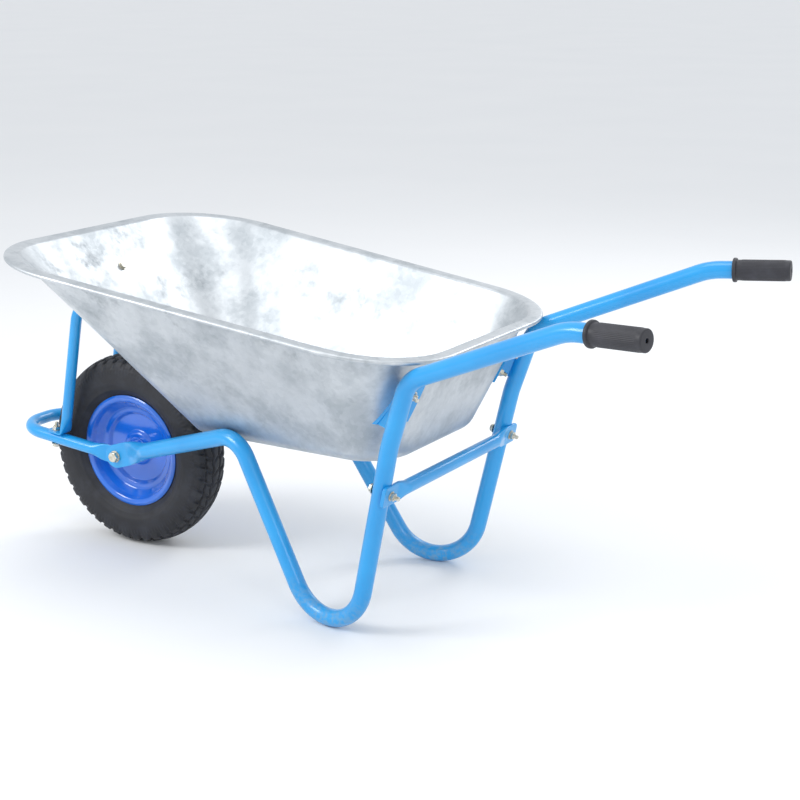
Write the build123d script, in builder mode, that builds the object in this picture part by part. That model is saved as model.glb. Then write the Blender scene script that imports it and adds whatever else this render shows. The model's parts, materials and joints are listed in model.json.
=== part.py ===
from build123d import *
import os
from collections import namedtuple
from math import atan2, cos, hypot, radians, sin, tan

# A single-wheel builder's wheelbarrow: pressed steel tray on a bent tube frame, pneumatic wheel on
# two ball bearings. Millimetres, +Z up, +X from the wheel towards the handles, +Y to the right hand
# of the user. The origin is on the ground under the middle of the overall length. Places along X
# are written as distances behind the axle (negative is ahead of it) and shifted by axle_x.

Fastener = namedtuple("Fastener", "diameter across_flats head_h nut_h washer_d washer_h tail")

# ---------------------------------------------------------------- overall sizes
wheel_radius = 195.0          # outside of the tyre
handle_end = 1230.0           # rear end of the grips, behind the axle
nose_reach = 271.0            # front of the nose loop, ahead of the axle

# ---------------------------------------------------------------- tubes
tube_d = 32.0
tube_wall = 1.6
loop_d = 25.0
loop_wall = 1.5
stay_d = 22.0
stay_wall = 1.5
bar_d = 25.0
bar_wall = 1.5

# ---------------------------------------------------------------- side tubes: (behind axle, height)
spread = 11.1                 # each side tube's plane opens outwards by this many degrees
rail_half_gap = 80.0          # half distance of the two planes at the axle
rail_start = 108.0            # end of the flattened stretch, behind the axle
front_bend = (357.0, 312.0)
front_leg_lean = 30.5
rear_leg_lean = 12.6
leg_kink = (730.0, 362.0)
upper_bend = (771.0, 486.0)
handle_bend = (1089.0, 619.0)
handle_end_z = 626.0
front_bend_r = 60.0
kink_r = 160.0
upper_bend_r = 62.0
handle_bend_r = 130.0
flat_height = 48.0            # a flattened tube's width
flat_thickness = 3.6
flat_length = 36.0            # from the axle to where the tube starts to widen

# ---------------------------------------------------------------- axle stack, from the middle plane
m12 = Fastener(12.0, 19.0, 7.5, 10.0, 24.0, 2.5, 6.0)
m12_hole = 12.4
hub_half = 50.0
hub_d = 38.0
bearing_od = 32.0
bearing_width = 10.0
bearing_ring = 2.6
bearing_bore = 12.1
ball_play = 0.05              # all round a ball
ball_count = 9
seal_play = 0.35
seal_thickness = 1.0
hub_bore = 26.0
spacer_length = 20.4
spacer_d = 17.0
loop_flat_thickness = 3.2
loop_flat_height = 36.0

# ---------------------------------------------------------------- nose loop and front stay
loop_tilt = 5.5
loop_bend_r = 60.0
loop_flat_length = 30.0
loop_taper = 30.0
stay_bolt_x = -160.0          # bolt of the stay's foot
stay_leg_x = -136.0           # where the leg stands on the nose loop
stay_taper = 34.0             # squeezed stretch above the foot
stay_knee = (-88.0, 472.0)
stay_crown_height = 565.0     # where its bolt goes through the tray's front wall
stay_crown_half = 62.0
stay_bend_r = 34.0
stay_knee_r = 60.0
stay_flat_thickness = 3.2
stay_flat_width = 32.0

# ---------------------------------------------------------------- cross bar
bar_height = 280.0
bar_flat_height = 38.0
bar_flat_thickness = 7.0
bar_seat = 3.0                # how far the saddle wraps round the leg
bar_overhang = 6.0
bar_taper = 34.0

# ---------------------------------------------------------------- tray
tray_wall = 1.0
floor_front = (205.0, 276.0)
floor_rear = (700.0, 309.0)
floor_half_front = 86.0
floor_half_rear = 192.0
floor_corner_front = 55.0
floor_corner_rear = 85.0
floor_edge_r = 38.0
rim_front = (-83.0, 634.0)
rim_rear = (786.0, 521.5)
rim_half_front = 327.0
rim_half_rear = 286.0
rim_corner_front = 150.0
rim_corner_rear = 150.0
lip_width = 27.0
bead_d = 8.0                  # rolled edge round the lip
bead_roundness = 0.47

# ---------------------------------------------------------------- tray brackets
bracket_thickness = 4.0
bracket_low = 392.0
bracket_high = 466.0
bracket_inner_y = 158.0
bracket_outer_y = 202.0
bracket_bolt_y = 176.0
bracket_web_y = 196.0         # where the web to the leg leaves the tray
bracket_bolt_heights = (411.0, 448.0)

# ---------------------------------------------------------------- M8 fasteners
m8 = Fastener(8.0, 13.0, 5.3, 6.5, 18.0, 1.6, 9.0)
m8_hole = 8.4
washer_play = 0.05            # a washer's seat on the tray or a bracket, which aren't quite flat

# ---------------------------------------------------------------- grips
grip_length = 102.0
grip_d = 37.0
grip_collar_d = 44.0
grip_collar_length = 7.0
grip_end_wall = 4.0
grip_end_hole = 8.0
grip_edge_r = 2.2

# ---------------------------------------------------------------- wheel
rim_flange_r = 115.0
rim_half_width = 31.6
rim_sheet = 2.0
bead_seat_r = 101.5
rim_bowl = (86.0, 9.0)        # radius and distance from the middle plane
rim_ring = (76.0, 8.0)
rim_disc_r = 70.0
rim_boss_r = 36.0
rim_boss_rise = 6.0
tyre_half = 47.0
tyre_wall = 6.0
sidewall_r = 150.0            # where the tyre is widest
shoulder_drop = 11.0
shoulder_half = 39.0
flange_play = 1.0             # tyre to rim flange
bead_chamfer = 1.2
tube_play = 0.5
tube_skin = 2.0
valve_root = (97.5, 9.0)      # radius and distance from the middle plane
valve_tip = (82.5, 43.0)
valve_angle = 70.0
valve_d = 8.0
valve_thread_d = 6.0
valve_thread = 8.0
valve_cap_d = 9.4
valve_cap_end = 3.0
valve_hole = 8.6

# ---------------------------------------------------------------- where the axle is
grip_overhang = (grip_d / 2 - grip_edge_r) * sin(radians(spread))   # a grip's end face is turned
axle_x = (nose_reach - handle_end - grip_overhang) / 2
axle_z = wheel_radius

os.makedirs("parts", exist_ok=True)

SIDES = (("left", -1), ("right", 1))
THROUGH = 60.0                # longer than anything that a hole goes through


def behind(x, y, z):
    """A point given by its distance behind the axle."""
    return (axle_x + x, y, z)


def save(node, label):
    """Label a finished piece and write its file."""
    node.part.label = label
    export_step(node.part, f"parts/{label}.step")


# ---------------------------------------------------------------- shapes used several times
def flipped(plane, distance=0.0):
    """The same plane, moved along its normal and turned to face the other way."""
    moved = plane.offset(distance)
    return Plane(origin=moved.origin, x_dir=moved.x_dir, z_dir=-moved.z_dir)


def add_nut(seat, size, height):
    """Hexagon standing on the seat plane, with the bolt's hole through it."""
    with BuildSketch(seat) as hexagon:
        RegularPolygon(size.across_flats / 2, 6, major_radius=False)
        Circle(size.diameter / 2, mode=Mode.SUBTRACT)
    extrude(hexagon.sketch, amount=height)


def add_rod(seat, diameter, length):
    """Round bar standing on the seat plane."""
    with BuildSketch(seat) as disc:
        Circle(diameter / 2)
    extrude(disc.sketch, amount=length)


def add_ring(seat, inside, outside, length):
    """Round tube or washer standing on the seat plane."""
    with BuildSketch(seat) as ring:
        Circle(outside / 2)
        Circle(inside / 2, mode=Mode.SUBTRACT)
    extrude(ring.sketch, amount=length)


def save_fasteners(name, size, faces):
    """Bolts, nuts and washers of one joint; faces are the clamped stack's two outward faces."""
    with BuildPart() as bolts:
        for head_face, nut_face in faces:
            grip = (nut_face.origin - head_face.origin).length + 2 * size.washer_h
            seat = flipped(head_face, size.washer_h)
            with BuildSketch(seat):
                RegularPolygon(size.across_flats / 2, 6, major_radius=False)
            extrude(amount=-size.head_h)
            add_rod(seat, size.diameter, grip + size.nut_h + size.tail)
    save(bolts, f"{name}_bolt" if len(faces) == 1 else f"{name}_bolts")
    with BuildPart() as nuts:
        for head_face, nut_face in faces:
            add_nut(nut_face.offset(size.washer_h), size, size.nut_h)
    save(nuts, f"{name}_nut" if len(faces) == 1 else f"{name}_nuts")
    with BuildPart() as washers:
        for pair in faces:
            for face in pair:
                add_ring(face, size.diameter, size.washer_d, size.washer_h)
    save(washers, f"{name}_washers")


def drill(plane, diameter, depth=THROUGH / 2):
    """Hole through the current part, both ways from the plane."""
    with BuildSketch(plane) as round_hole:
        Circle(diameter / 2)
    extrude(round_hole.sketch, amount=depth, both=True, mode=Mode.SUBTRACT)


def add_taper(round_end, flat_end, diameter, width, thickness):
    """A tube's squeezed stretch, from its round section to its flat one."""
    with BuildSketch(round_end) as disc:
        Circle(diameter / 2)
    with BuildSketch(flat_end) as oval:
        Ellipse(thickness / 2, width / 2)
    loft([disc.sketch, oval.sketch])


# ---------------------------------------------------------------- side tube geometry
cos_spread = cos(radians(spread))
sin_spread = sin(radians(spread))
rail_slope = (front_bend[1] - axle_z) / front_bend[0]
rail_angle = atan2(front_bend[1] - axle_z, front_bend[0])


def half_gap(x):
    """Distance of a side tube's centre line from the middle plane."""
    return rail_half_gap + tan(radians(spread)) * x


def side_plane(side):
    """Plane of a side tube: local x runs rearwards along it and local y is up from the axle."""
    along = (cos_spread, side * sin_spread, 0)
    across = (side * sin_spread, -cos_spread, 0)
    return Plane(origin=(axle_x, side * rail_half_gap, axle_z), x_dir=along, z_dir=across)


def in_side_plane(x, z):
    """Local coordinates, in a side tube's plane, of a point behind the axle at a height."""
    return (x / cos_spread, z - axle_z)


def foot_corner():
    """Where the lines of the two halves of a leg would meet below the ground."""
    front = tan(radians(front_leg_lean))
    rear = tan(radians(rear_leg_lean))
    gap = front_bend[0] + front * front_bend[1] - leg_kink[0] + rear * leg_kink[1]
    z = gap / (front + rear)
    return (front_bend[0] + front * (front_bend[1] - z), z)


def foot_radius(corner):
    """Bend radius that lets the tube just rest on the ground."""
    before = Vector(*in_side_plane(*front_bend)) - Vector(*in_side_plane(*corner))
    after = Vector(*in_side_plane(*leg_kink)) - Vector(*in_side_plane(*corner))
    half = radians(before.get_angle(after)) / 2
    middle = (before.normalized() + after.normalized()).normalized()
    return (tube_d / 2 - corner[1]) / (middle.Y / sin(half) - 1)


foot = foot_corner()
foot_r = foot_radius(foot)
handle_run = handle_end - handle_bend[0]
handle_angle = atan2(handle_end_z - handle_bend[1], handle_run)
tube_end_x = handle_end - grip_end_wall * cos(handle_angle)
tube_end_z = handle_end_z - grip_end_wall * sin(handle_angle)
rail_start_z = axle_z + rail_slope * rail_start
side_route = [(rail_start, rail_start_z), front_bend, foot, leg_kink, upper_bend, handle_bend]
side_route.append((tube_end_x, tube_end_z))
side_bends = [front_bend_r, foot_r, kink_r, upper_bend_r, handle_bend_r]

# the rear leg where the cross bar is bolted to it
bar_x = leg_kink[0] - tan(radians(rear_leg_lean)) * (leg_kink[1] - bar_height)
bar_y = half_gap(bar_x)
bar_normal = (cos(radians(rear_leg_lean)), 0, -sin(radians(rear_leg_lean)))
bar_plane = Plane(origin=behind(bar_x, 0, bar_height), x_dir=(0, 1, 0), z_dir=bar_normal)


def bar_seat_plane(side, distance):
    """Plane across a cross bar bolt, at a distance behind the leg's centre line."""
    origin = bar_plane.offset(distance).from_local_coords((side * bar_y, 0, 0))
    return Plane(origin=origin, x_dir=(0, 1, 0), z_dir=bar_normal)


# the axle stack, as distances from the middle plane
spacer_end = hub_half + spacer_length
loop_plate_y = spacer_end + loop_flat_thickness / 2
side_plate_y = spacer_end + loop_flat_thickness
axle_washer_y = side_plate_y + flat_thickness


def axle_plane(side, distance, angle=0.0):
    """Plane across the axle, facing away from the middle plane, turned about the axle."""
    turned = (cos(angle), 0, sin(angle))
    return Plane(origin=behind(0, side * distance, axle_z), x_dir=turned, z_dir=(0, side, 0))


# ---------------------------------------------------------------- tray geometry
floor_angle = atan2(floor_rear[1] - floor_front[1], floor_rear[0] - floor_front[0])
rim_angle = atan2(rim_rear[1] - rim_front[1], rim_rear[0] - rim_front[0])
floor_length = hypot(floor_rear[0] - floor_front[0], floor_rear[1] - floor_front[1])
rim_length = hypot(rim_rear[0] - rim_front[0], rim_rear[1] - rim_front[1])


def tilted_plane(front, angle):
    """Plane through a front edge, with local x rearwards along the slope and z upwards."""
    along = (cos(angle), 0, sin(angle))
    return Plane(origin=behind(front[0], 0, front[1]), x_dir=along, z_dir=(-sin(angle), 0, cos(angle)))


floor_plane = tilted_plane(floor_front, floor_angle)
rim_plane = tilted_plane(rim_front, rim_angle)


def outline(length, half_front, half_rear, corner_front, corner_rear, grow):
    """Trapezoid with rounded corners, in the current sketch, grown on all its sides."""
    front, rear = -grow, length + grow
    corners = [(front, -half_front - grow), (rear, -half_rear - grow)]
    corners += [(rear, half_rear + grow), (front, half_front + grow)]
    Polygon(*corners, align=None)
    fillet(vertices().sort_by(Axis.X)[:2], corner_front + grow)
    fillet(vertices().sort_by(Axis.X)[-2:], corner_rear + grow)


def rim_outline(grow):
    """The tray's mouth, in the current sketch."""
    outline(rim_length, rim_half_front, rim_half_rear, rim_corner_front, rim_corner_rear, grow)


def floor_outline(grow):
    """The tray's floor, in the current sketch."""
    outline(floor_length, floor_half_front, floor_half_rear, floor_corner_front, floor_corner_rear, grow)


def tray_block(grow):
    """The tray as a full block, with its floor and walls moved outwards by an amount."""
    with BuildPart() as block:
        with BuildSketch(floor_plane.offset(-grow)):
            floor_outline(grow)
        with BuildSketch(rim_plane):
            rim_outline(grow)
        loft(ruled=True)
        fillet(faces().sort_by(Axis.Z)[0].edges(), floor_edge_r + grow)
    return block.part


outer_block = tray_block(0)
inner_block = tray_block(-tray_wall)


def wall_planes(start, direction, skin=outer_block, bed=0.0):
    """Outward planes on the inner face of the tray's wall and on its outside, or on a skin's.

    The line starts inside the tray; bed lifts the inner plane off a hollow corner, and both planes
    stand off their wall by the washers' play.
    """
    point, normal = outer_block.find_intersection_points(Axis(start, direction))[-1]
    across = Axis(point - normal * THROUGH, normal)
    inside = inner_block.find_intersection_points(across)[-1][0]
    outside = skin.find_intersection_points(across)[-1][0]
    inner = Plane(origin=inside - normal * (bed + washer_play), z_dir=-normal)
    return inner, Plane(origin=outside + normal * washer_play, z_dir=normal)


inside_tray = (floor_front[0] + floor_rear[0]) / 2
crown_wall = wall_planes(behind(inside_tray, 0, stay_crown_height), (-1, 0, 0))
bracket_block = tray_block(bracket_thickness)
corner_r = (floor_corner_rear + rim_corner_rear) / 2
bracket_bed = m8.washer_d ** 2 / (8 * corner_r)
bracket_walls = {}
for label, side in SIDES:
    starts = [behind(inside_tray, side * bracket_bolt_y, z) for z in bracket_bolt_heights]
    walls = [wall_planes(start, (1, 0, 0), bracket_block, bracket_bed) for start in starts]
    bracket_walls[label] = walls

# ---------------------------------------------------------------- tray
with BuildPart() as bead:
    with BuildSketch(rim_plane):
        rim_outline(lip_width)
    extrude(amount=-bead_d)
    with BuildSketch(rim_plane):
        rim_outline(lip_width - bead_d)
    extrude(amount=-bead_d, mode=Mode.SUBTRACT)
    fillet(edges(), bead_d * bead_roundness)

with BuildPart() as tray:
    add(outer_block)
    with BuildSketch(rim_plane):
        rim_outline(lip_width - bead_d / 2)
    extrude(amount=-tray_wall)
    add(bead.part)
    add(inner_block, mode=Mode.SUBTRACT)
    for inside, outside in [crown_wall] + bracket_walls["left"] + bracket_walls["right"]:
        drill(outside, m8_hole)
save(tray, "tray")


# ---------------------------------------------------------------- side tubes
def side_flat_end(side):
    """Section where a side tube's squeezed end is flat, just inside its end plate."""
    reach = flat_length - flat_thickness
    centre_y = side * (side_plate_y + flat_thickness / 2)
    centre = behind(reach * cos(rail_angle), centre_y, axle_z + reach * sin(rail_angle))
    return Plane(origin=centre, x_dir=(0, -1, 0), z_dir=(cos(rail_angle), 0, sin(rail_angle)))


for label, side in SIDES:
    with BuildPart() as side_tube:
        with BuildLine(side_plane(side)) as route:
            FilletPolyline(*[in_side_plane(x, z) for x, z in side_route], radius=side_bends)
        across = side_plane(side).z_dir
        start = Plane(origin=route.line @ 0, x_dir=across, z_dir=route.line % 0)
        with BuildSketch(start):
            Circle(tube_d / 2)
            Circle(tube_d / 2 - tube_wall, mode=Mode.SUBTRACT)
        sweep()
        add_taper(start, side_flat_end(side), tube_d, flat_height, flat_thickness)
        with BuildSketch(axle_plane(side, side_plate_y, rail_angle)):
            Circle(flat_height / 2)
            Rectangle(flat_length, flat_height, align=(Align.MIN, Align.CENTER))
        extrude(amount=flat_thickness)
        drill(axle_plane(side, side_plate_y), m12_hole)
        drill(bar_seat_plane(side, 0), m8_hole)
    save(side_tube, f"side_tube_{label}")

# ---------------------------------------------------------------- nose loop
loop_angle = radians(loop_tilt)
loop_forward = (-cos(loop_angle), 0, sin(loop_angle))
loop_up = (sin(loop_angle), 0, cos(loop_angle))
loop_plane = Plane(origin=behind(0, 0, axle_z), x_dir=loop_forward, z_dir=loop_up)
loop_front = (nose_reach - loop_d / 2) / cos(loop_angle)
loop_start = loop_flat_length + loop_taper


def loop_section(side, reach):
    """Section across the nose loop at a distance ahead of the axle."""
    origin = loop_plane.from_local_coords((reach, -side * loop_plate_y, 0))
    return Plane(origin=origin, x_dir=(0, 1, 0), z_dir=loop_forward)


with BuildPart() as nose_loop:
    with BuildLine(loop_plane) as route:
        corners = [(loop_start, loop_plate_y), (loop_front, loop_plate_y)]
        corners += [(loop_front, -loop_plate_y), (loop_start, -loop_plate_y)]
        FilletPolyline(*corners, radius=[loop_bend_r, loop_bend_r])
    with BuildSketch(Plane(origin=route.line @ 0, z_dir=route.line % 0)):
        Circle(loop_d / 2)
        Circle(loop_d / 2 - loop_wall, mode=Mode.SUBTRACT)
    sweep()
    for label, side in SIDES:
        flat = loop_section(side, loop_flat_length - loop_flat_thickness)
        add_taper(loop_section(side, loop_start), flat, loop_d, loop_flat_height, loop_flat_thickness)
        with BuildSketch(axle_plane(side, spacer_end, radians(180) - loop_angle)):
            Circle(loop_flat_height / 2)
            Rectangle(loop_flat_length, loop_flat_height, align=(Align.MIN, Align.CENTER))
        extrude(amount=loop_flat_thickness)
        drill(axle_plane(side, spacer_end), m12_hole)
        foot_bolt = loop_plane.from_local_coords((-stay_bolt_x, side * loop_plate_y, 0))
        drill(Plane(origin=foot_bolt, z_dir=loop_plane.z_dir), m8_hole)
save(nose_loop, "nose_loop")

# ---------------------------------------------------------------- front stay
foot_plane = loop_plane.offset(loop_d / 2)
crown = crown_wall[1].origin + crown_wall[1].z_dir * (stay_d / 2)


def stay_half(side):
    """Corners of one half of the stay's route, from its foot to its crown."""
    foot_point = foot_plane.from_local_coords((-stay_leg_x, -side * loop_plate_y, stay_flat_thickness / 2))
    knee = Vector(*behind(stay_knee[0], side * loop_plate_y, stay_knee[1]))
    top = Vector(crown.X, side * stay_crown_half, crown.Z)
    leg = (knee - foot_point).normalized()
    return foot_point, foot_point + leg * stay_taper, knee, top


with BuildPart() as front_stay:
    halves = [stay_half(side)[1:] for label, side in SIDES]
    corners = list(halves[0]) + list(halves[1])[::-1]
    bends = [stay_knee_r, stay_bend_r, stay_bend_r, stay_knee_r]
    with BuildLine() as route:
        FilletPolyline(*corners, radius=bends)
    with BuildSketch(Plane(origin=route.line @ 0, z_dir=route.line % 0)):
        Circle(stay_d / 2)
        Circle(stay_d / 2 - stay_wall, mode=Mode.SUBTRACT)
    sweep()
    for label, side in SIDES:
        foot_point, leg_start, knee, top = stay_half(side)
        leg = (knee - foot_point).normalized()
        across = Vector(0, 1, 0).cross(leg)
        round_end = Plane(origin=leg_start, x_dir=across, z_dir=leg)
        flat_end = Plane(origin=foot_point, x_dir=across, z_dir=leg)
        add_taper(round_end, flat_end, stay_d, stay_flat_width, stay_flat_thickness)
        with BuildSketch(foot_plane):
            with Locations((-stay_bolt_x, side * loop_plate_y)):
                Circle(stay_flat_width / 2)
                length = stay_leg_x - stay_bolt_x + stay_flat_thickness / 2
                Rectangle(length, stay_flat_width, align=(Align.MAX, Align.CENTER))
        extrude(amount=stay_flat_thickness)
        foot_bolt = foot_plane.from_local_coords((-stay_bolt_x, side * loop_plate_y, 0))
        drill(Plane(origin=foot_bolt, z_dir=foot_plane.z_dir), m8_hole)
    drill(crown_wall[1], m8_hole)
save(front_stay, "front_stay")


# ---------------------------------------------------------------- cross bar
bar_centre = tube_d / 2 - bar_seat + bar_flat_thickness / 2
bar_flat_start = bar_y - tube_d / 2 - bar_overhang
bar_flat_end = bar_y + tube_d / 2 + bar_overhang


def leg_section(side, low, high):
    """Section of a leg at its lower corner, facing along it, and the distance to the upper one."""
    bottom = side_plane(side).from_local_coords(in_side_plane(*low))
    top = side_plane(side).from_local_coords(in_side_plane(*high))
    return Plane(origin=bottom, z_dir=top - bottom), (top - bottom).length


def bar_section(side, reach):
    """Section across the cross bar at a distance from the middle plane, facing outwards."""
    origin = bar_plane.from_local_coords((side * reach, 0, bar_centre))
    return Plane(origin=origin, x_dir=bar_normal, z_dir=(0, side, 0))


with BuildPart() as cross_bar:
    bar_round = bar_flat_start - bar_taper
    add_ring(bar_section(-1, bar_round), bar_d - 2 * bar_wall, bar_d, -2 * bar_round)
    for label, side in SIDES:
        flat = bar_section(side, bar_flat_start + bar_seat)
        add_taper(bar_section(side, bar_round), flat, bar_d, bar_flat_height, bar_flat_thickness)
        with BuildSketch(bar_plane.offset(bar_centre - bar_flat_thickness / 2)):
            with Locations((side * (bar_flat_start + bar_flat_end) / 2, 0)):
                Rectangle(bar_flat_end - bar_flat_start, bar_flat_height)
        extrude(amount=bar_flat_thickness)
        section, length = leg_section(side, foot, leg_kink)
        with BuildSketch(section):
            Circle(tube_d / 2)
        extrude(amount=length, mode=Mode.SUBTRACT)
        drill(bar_seat_plane(side, 0), m8_hole)
save(cross_bar, "cross_bar")

# ---------------------------------------------------------------- tray brackets


def leg_point(side, z):
    """A point of the leg's upper stretch at a height."""
    share = (z - leg_kink[1]) / (upper_bend[1] - leg_kink[1])
    x = leg_kink[0] + share * (upper_bend[0] - leg_kink[0])
    return Vector(*behind(x, side * half_gap(x), z))


for label, side in SIDES:
    with BuildPart() as tray_bracket:
        middle = side * (bracket_inner_y + bracket_outer_y) / 2
        with BuildSketch(Plane.XY.offset(bracket_low)):
            with Locations(behind(leg_kink[0], middle, 0)[:2]):
                Rectangle(2 * THROUGH, bracket_outer_y - bracket_inner_y)
        extrude(amount=bracket_high - bracket_low)
        add(bracket_block, mode=Mode.INTERSECT)
        for z in (bracket_low, bracket_high):
            start = behind(inside_tray, side * bracket_web_y, z)
            on_tray = wall_planes(start, (1, 0, 0))[1].origin
            web = leg_point(side, z) - on_tray
            middle = on_tray + web / 2
            with BuildSketch(Plane(origin=middle, x_dir=web, z_dir=(0, 0, 1))):
                Rectangle(web.length, bracket_thickness)
        loft()
        add(outer_block, mode=Mode.SUBTRACT)
        section, length = leg_section(side, leg_kink, upper_bend)
        with BuildSketch(section):
            Circle(tube_d / 2)
        extrude(amount=length, mode=Mode.SUBTRACT)
        for inside, outside in bracket_walls[label]:
            drill(outside, m8_hole, bracket_thickness * 2)
    save(tray_bracket, f"tray_bracket_{label}")

# ---------------------------------------------------------------- fasteners
save_fasteners("axle", m12, [(axle_plane(-1, axle_washer_y), axle_plane(1, axle_washer_y))])
top_face = crown_wall[1].offset(stay_d)
save_fasteners("stay_top", m8, [(crown_wall[0], top_face)])
foot_faces = []
bar_faces = []
bracket_faces = []
for label, side in SIDES:
    under = loop_plane.from_local_coords((-stay_bolt_x, side * loop_plate_y, -loop_d / 2))
    under_plane = Plane(origin=under, z_dir=-loop_plane.z_dir)
    foot_faces.append((under_plane, flipped(under_plane, -loop_d - stay_flat_thickness)))
    bar_back = bar_centre + bar_flat_thickness / 2
    bar_faces.append((flipped(bar_seat_plane(side, -tube_d / 2)), bar_seat_plane(side, bar_back)))
    for inside, outside in bracket_walls[label]:
        bracket_faces.append((inside, outside))
save_fasteners("stay_foot", m8, foot_faces)
save_fasteners("bar", m8, bar_faces)
save_fasteners("bracket", m8, bracket_faces)

# ---------------------------------------------------------------- grips
for label, side in SIDES:
    with BuildPart() as grip:
        end = side_plane(side).from_local_coords(in_side_plane(handle_end, handle_end_z))
        bend = side_plane(side).from_local_coords(in_side_plane(*handle_bend))
        end_plane = Plane(origin=end, z_dir=bend - end)
        add_rod(end_plane, grip_d, grip_length)
        fillet(edges().filter_by(GeomType.CIRCLE).sort_by_distance(end)[0], grip_edge_r)
        collar = end_plane.offset(grip_length - grip_collar_length)
        add_rod(collar, grip_collar_d, grip_collar_length)
        circles = edges().filter_by(GeomType.CIRCLE)
        fillet([edge for edge in circles if edge.radius > grip_d / 2 + grip_edge_r], grip_edge_r)
        with BuildSketch(end_plane.offset(grip_end_wall)):
            Circle(tube_d / 2)
        extrude(amount=grip_length, mode=Mode.SUBTRACT)
        drill(end_plane, grip_end_hole)
    save(grip, f"grip_{label}")

# ---------------------------------------------------------------- tyre and inner tube
wheel_section = Plane(origin=behind(0, 0, axle_z))
wheel_axis = Axis(behind(0, 0, axle_z), (0, 1, 0))


def tyre_section(inset, foot, mode=Mode.ADD):
    """The tyre's section, in (radius, across), moved inwards all round, with its foot at a radius."""
    edge = rim_half_width - rim_sheet - inset
    clear = rim_flange_r + flange_play
    widest = (sidewall_r, tyre_half - inset)
    shoulder = (wheel_radius - shoulder_drop - inset, shoulder_half - inset)
    crown_r = wheel_radius - 2 * inset
    with BuildLine() as contour:
        heel = edge - bead_chamfer
        Polyline((clear, edge), (foot + bead_chamfer, edge), (foot, heel), (foot, -heel))
        Polyline((foot, -heel), (foot + bead_chamfer, -edge), (clear, -edge))
        ThreePointArc((clear, -edge), (widest[0], -widest[1]), (shoulder[0], -shoulder[1]))
        ThreePointArc((shoulder[0], -shoulder[1]), (crown_r, 0), shoulder)
        ThreePointArc(shoulder, widest, (clear, edge))
    make_face(contour.edges(), mode=mode)


with BuildPart() as tyre:
    with BuildSketch(wheel_section):
        tyre_section(0, bead_seat_r)
        tyre_section(tyre_wall, bead_seat_r - tyre_wall, Mode.SUBTRACT)
    revolve(axis=wheel_axis)
save(tyre, "tyre")

with BuildPart() as inner_tube:
    with BuildSketch(wheel_section):
        tyre_section(tyre_wall + tube_play, bead_seat_r + tube_play)
        tyre_section(tyre_wall + tube_play + tube_skin, bead_seat_r + tube_play + tube_skin, Mode.SUBTRACT)
    revolve(axis=wheel_axis)
save(inner_tube, "inner_tube")

# ---------------------------------------------------------------- rim halves
hub_r = hub_d / 2
valve_run = Vector(valve_tip[0] - valve_root[0], valve_tip[1] - valve_root[1])
valve_turn = wheel_section.rotated((0, -valve_angle, 0))
valve_start = valve_turn.from_local_coords((valve_root[0], valve_root[1], 0))
valve_end = valve_turn.from_local_coords((valve_tip[0], valve_tip[1], 0))
valve_plane = Plane(origin=valve_start, z_dir=valve_end - valve_start)

for label, side in SIDES:
    half_sheet = rim_sheet / 2
    flange_y = rim_half_width - half_sheet
    seat_r = bead_seat_r - half_sheet
    rim_route = [(rim_flange_r - half_sheet, flange_y), (seat_r, flange_y)]
    rim_route += [(seat_r - rim_sheet, flange_y - rim_boss_rise), rim_bowl, rim_ring]
    rim_route += [(rim_disc_r, half_sheet), (rim_boss_r, half_sheet)]
    rim_route += [(rim_boss_r - rim_boss_rise, half_sheet + rim_boss_rise)]
    rim_route += [(hub_r + half_sheet, half_sheet + rim_boss_rise)]
    with BuildPart() as rim_half:
        with BuildSketch(wheel_section):
            with BuildLine():
                FilletPolyline(*[(r, side * y) for r, y in rim_route], radius=rim_sheet)
                offset(amount=half_sheet, side=Side.BOTH)
            make_face()
        revolve(axis=wheel_axis)
        if side > 0:
            drill(valve_plane, valve_hole)
    save(rim_half, f"rim_{label}")

# ---------------------------------------------------------------- valve
with BuildPart() as valve_stem:
    add_rod(valve_plane, valve_d, valve_run.length - valve_thread - valve_cap_end)
    add_rod(valve_plane, valve_thread_d, valve_run.length - valve_cap_end)
save(valve_stem, "valve_stem")

with BuildPart() as valve_cap:
    cap_plane = valve_plane.offset(valve_run.length - valve_cap_end)
    add_rod(cap_plane, valve_cap_d, valve_cap_end)
    add_ring(cap_plane, valve_thread_d, valve_cap_d, -valve_thread)
save(valve_cap, "valve_cap")

# ---------------------------------------------------------------- hub and bearings
with BuildPart() as hub_tube:
    add_ring(axle_plane(1, -hub_half), hub_bore, hub_d, 2 * hub_half)
    for label, side in SIDES:
        with BuildSketch(axle_plane(side, hub_half)):
            Circle(bearing_od / 2)
        extrude(amount=-bearing_width, mode=Mode.SUBTRACT)
save(hub_tube, "hub_tube")

outer_ring_bore = bearing_od - 2 * bearing_ring
inner_ring_od = bearing_bore + 2 * bearing_ring
ball_space = (outer_ring_bore - inner_ring_od) / 2
ball_circle = (outer_ring_bore + inner_ring_od) / 4
for label, side in SIDES:
    face = axle_plane(side, hub_half)
    with BuildPart() as outer_ring:
        add_ring(face, outer_ring_bore, bearing_od, -bearing_width)
    save(outer_ring, f"bearing_outer_{label}")
    with BuildPart() as inner_ring:
        add_ring(face, bearing_bore, inner_ring_od, -bearing_width)
    save(inner_ring, f"bearing_inner_{label}")
    with BuildPart() as spacer:
        add_ring(face, bearing_bore, spacer_d, spacer_length)
    save(spacer, f"axle_spacer_{label}")

with BuildPart() as bearing_balls:
    for label, side in SIDES:
        with Locations(axle_plane(side, hub_half - bearing_width / 2)):
            with PolarLocations(ball_circle, ball_count):
                Sphere(ball_space / 2 - ball_play)
save(bearing_balls, "bearing_balls")

with BuildPart() as bearing_seals:
    for label, side in SIDES:
        for depth in (seal_play, bearing_width - seal_play - seal_thickness):
            seal_face = axle_plane(side, hub_half - depth)
            add_ring(seal_face, inner_ring_od + 2 * seal_play, outer_ring_bore, -seal_thickness)
save(bearing_seals, "bearing_seals")

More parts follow.
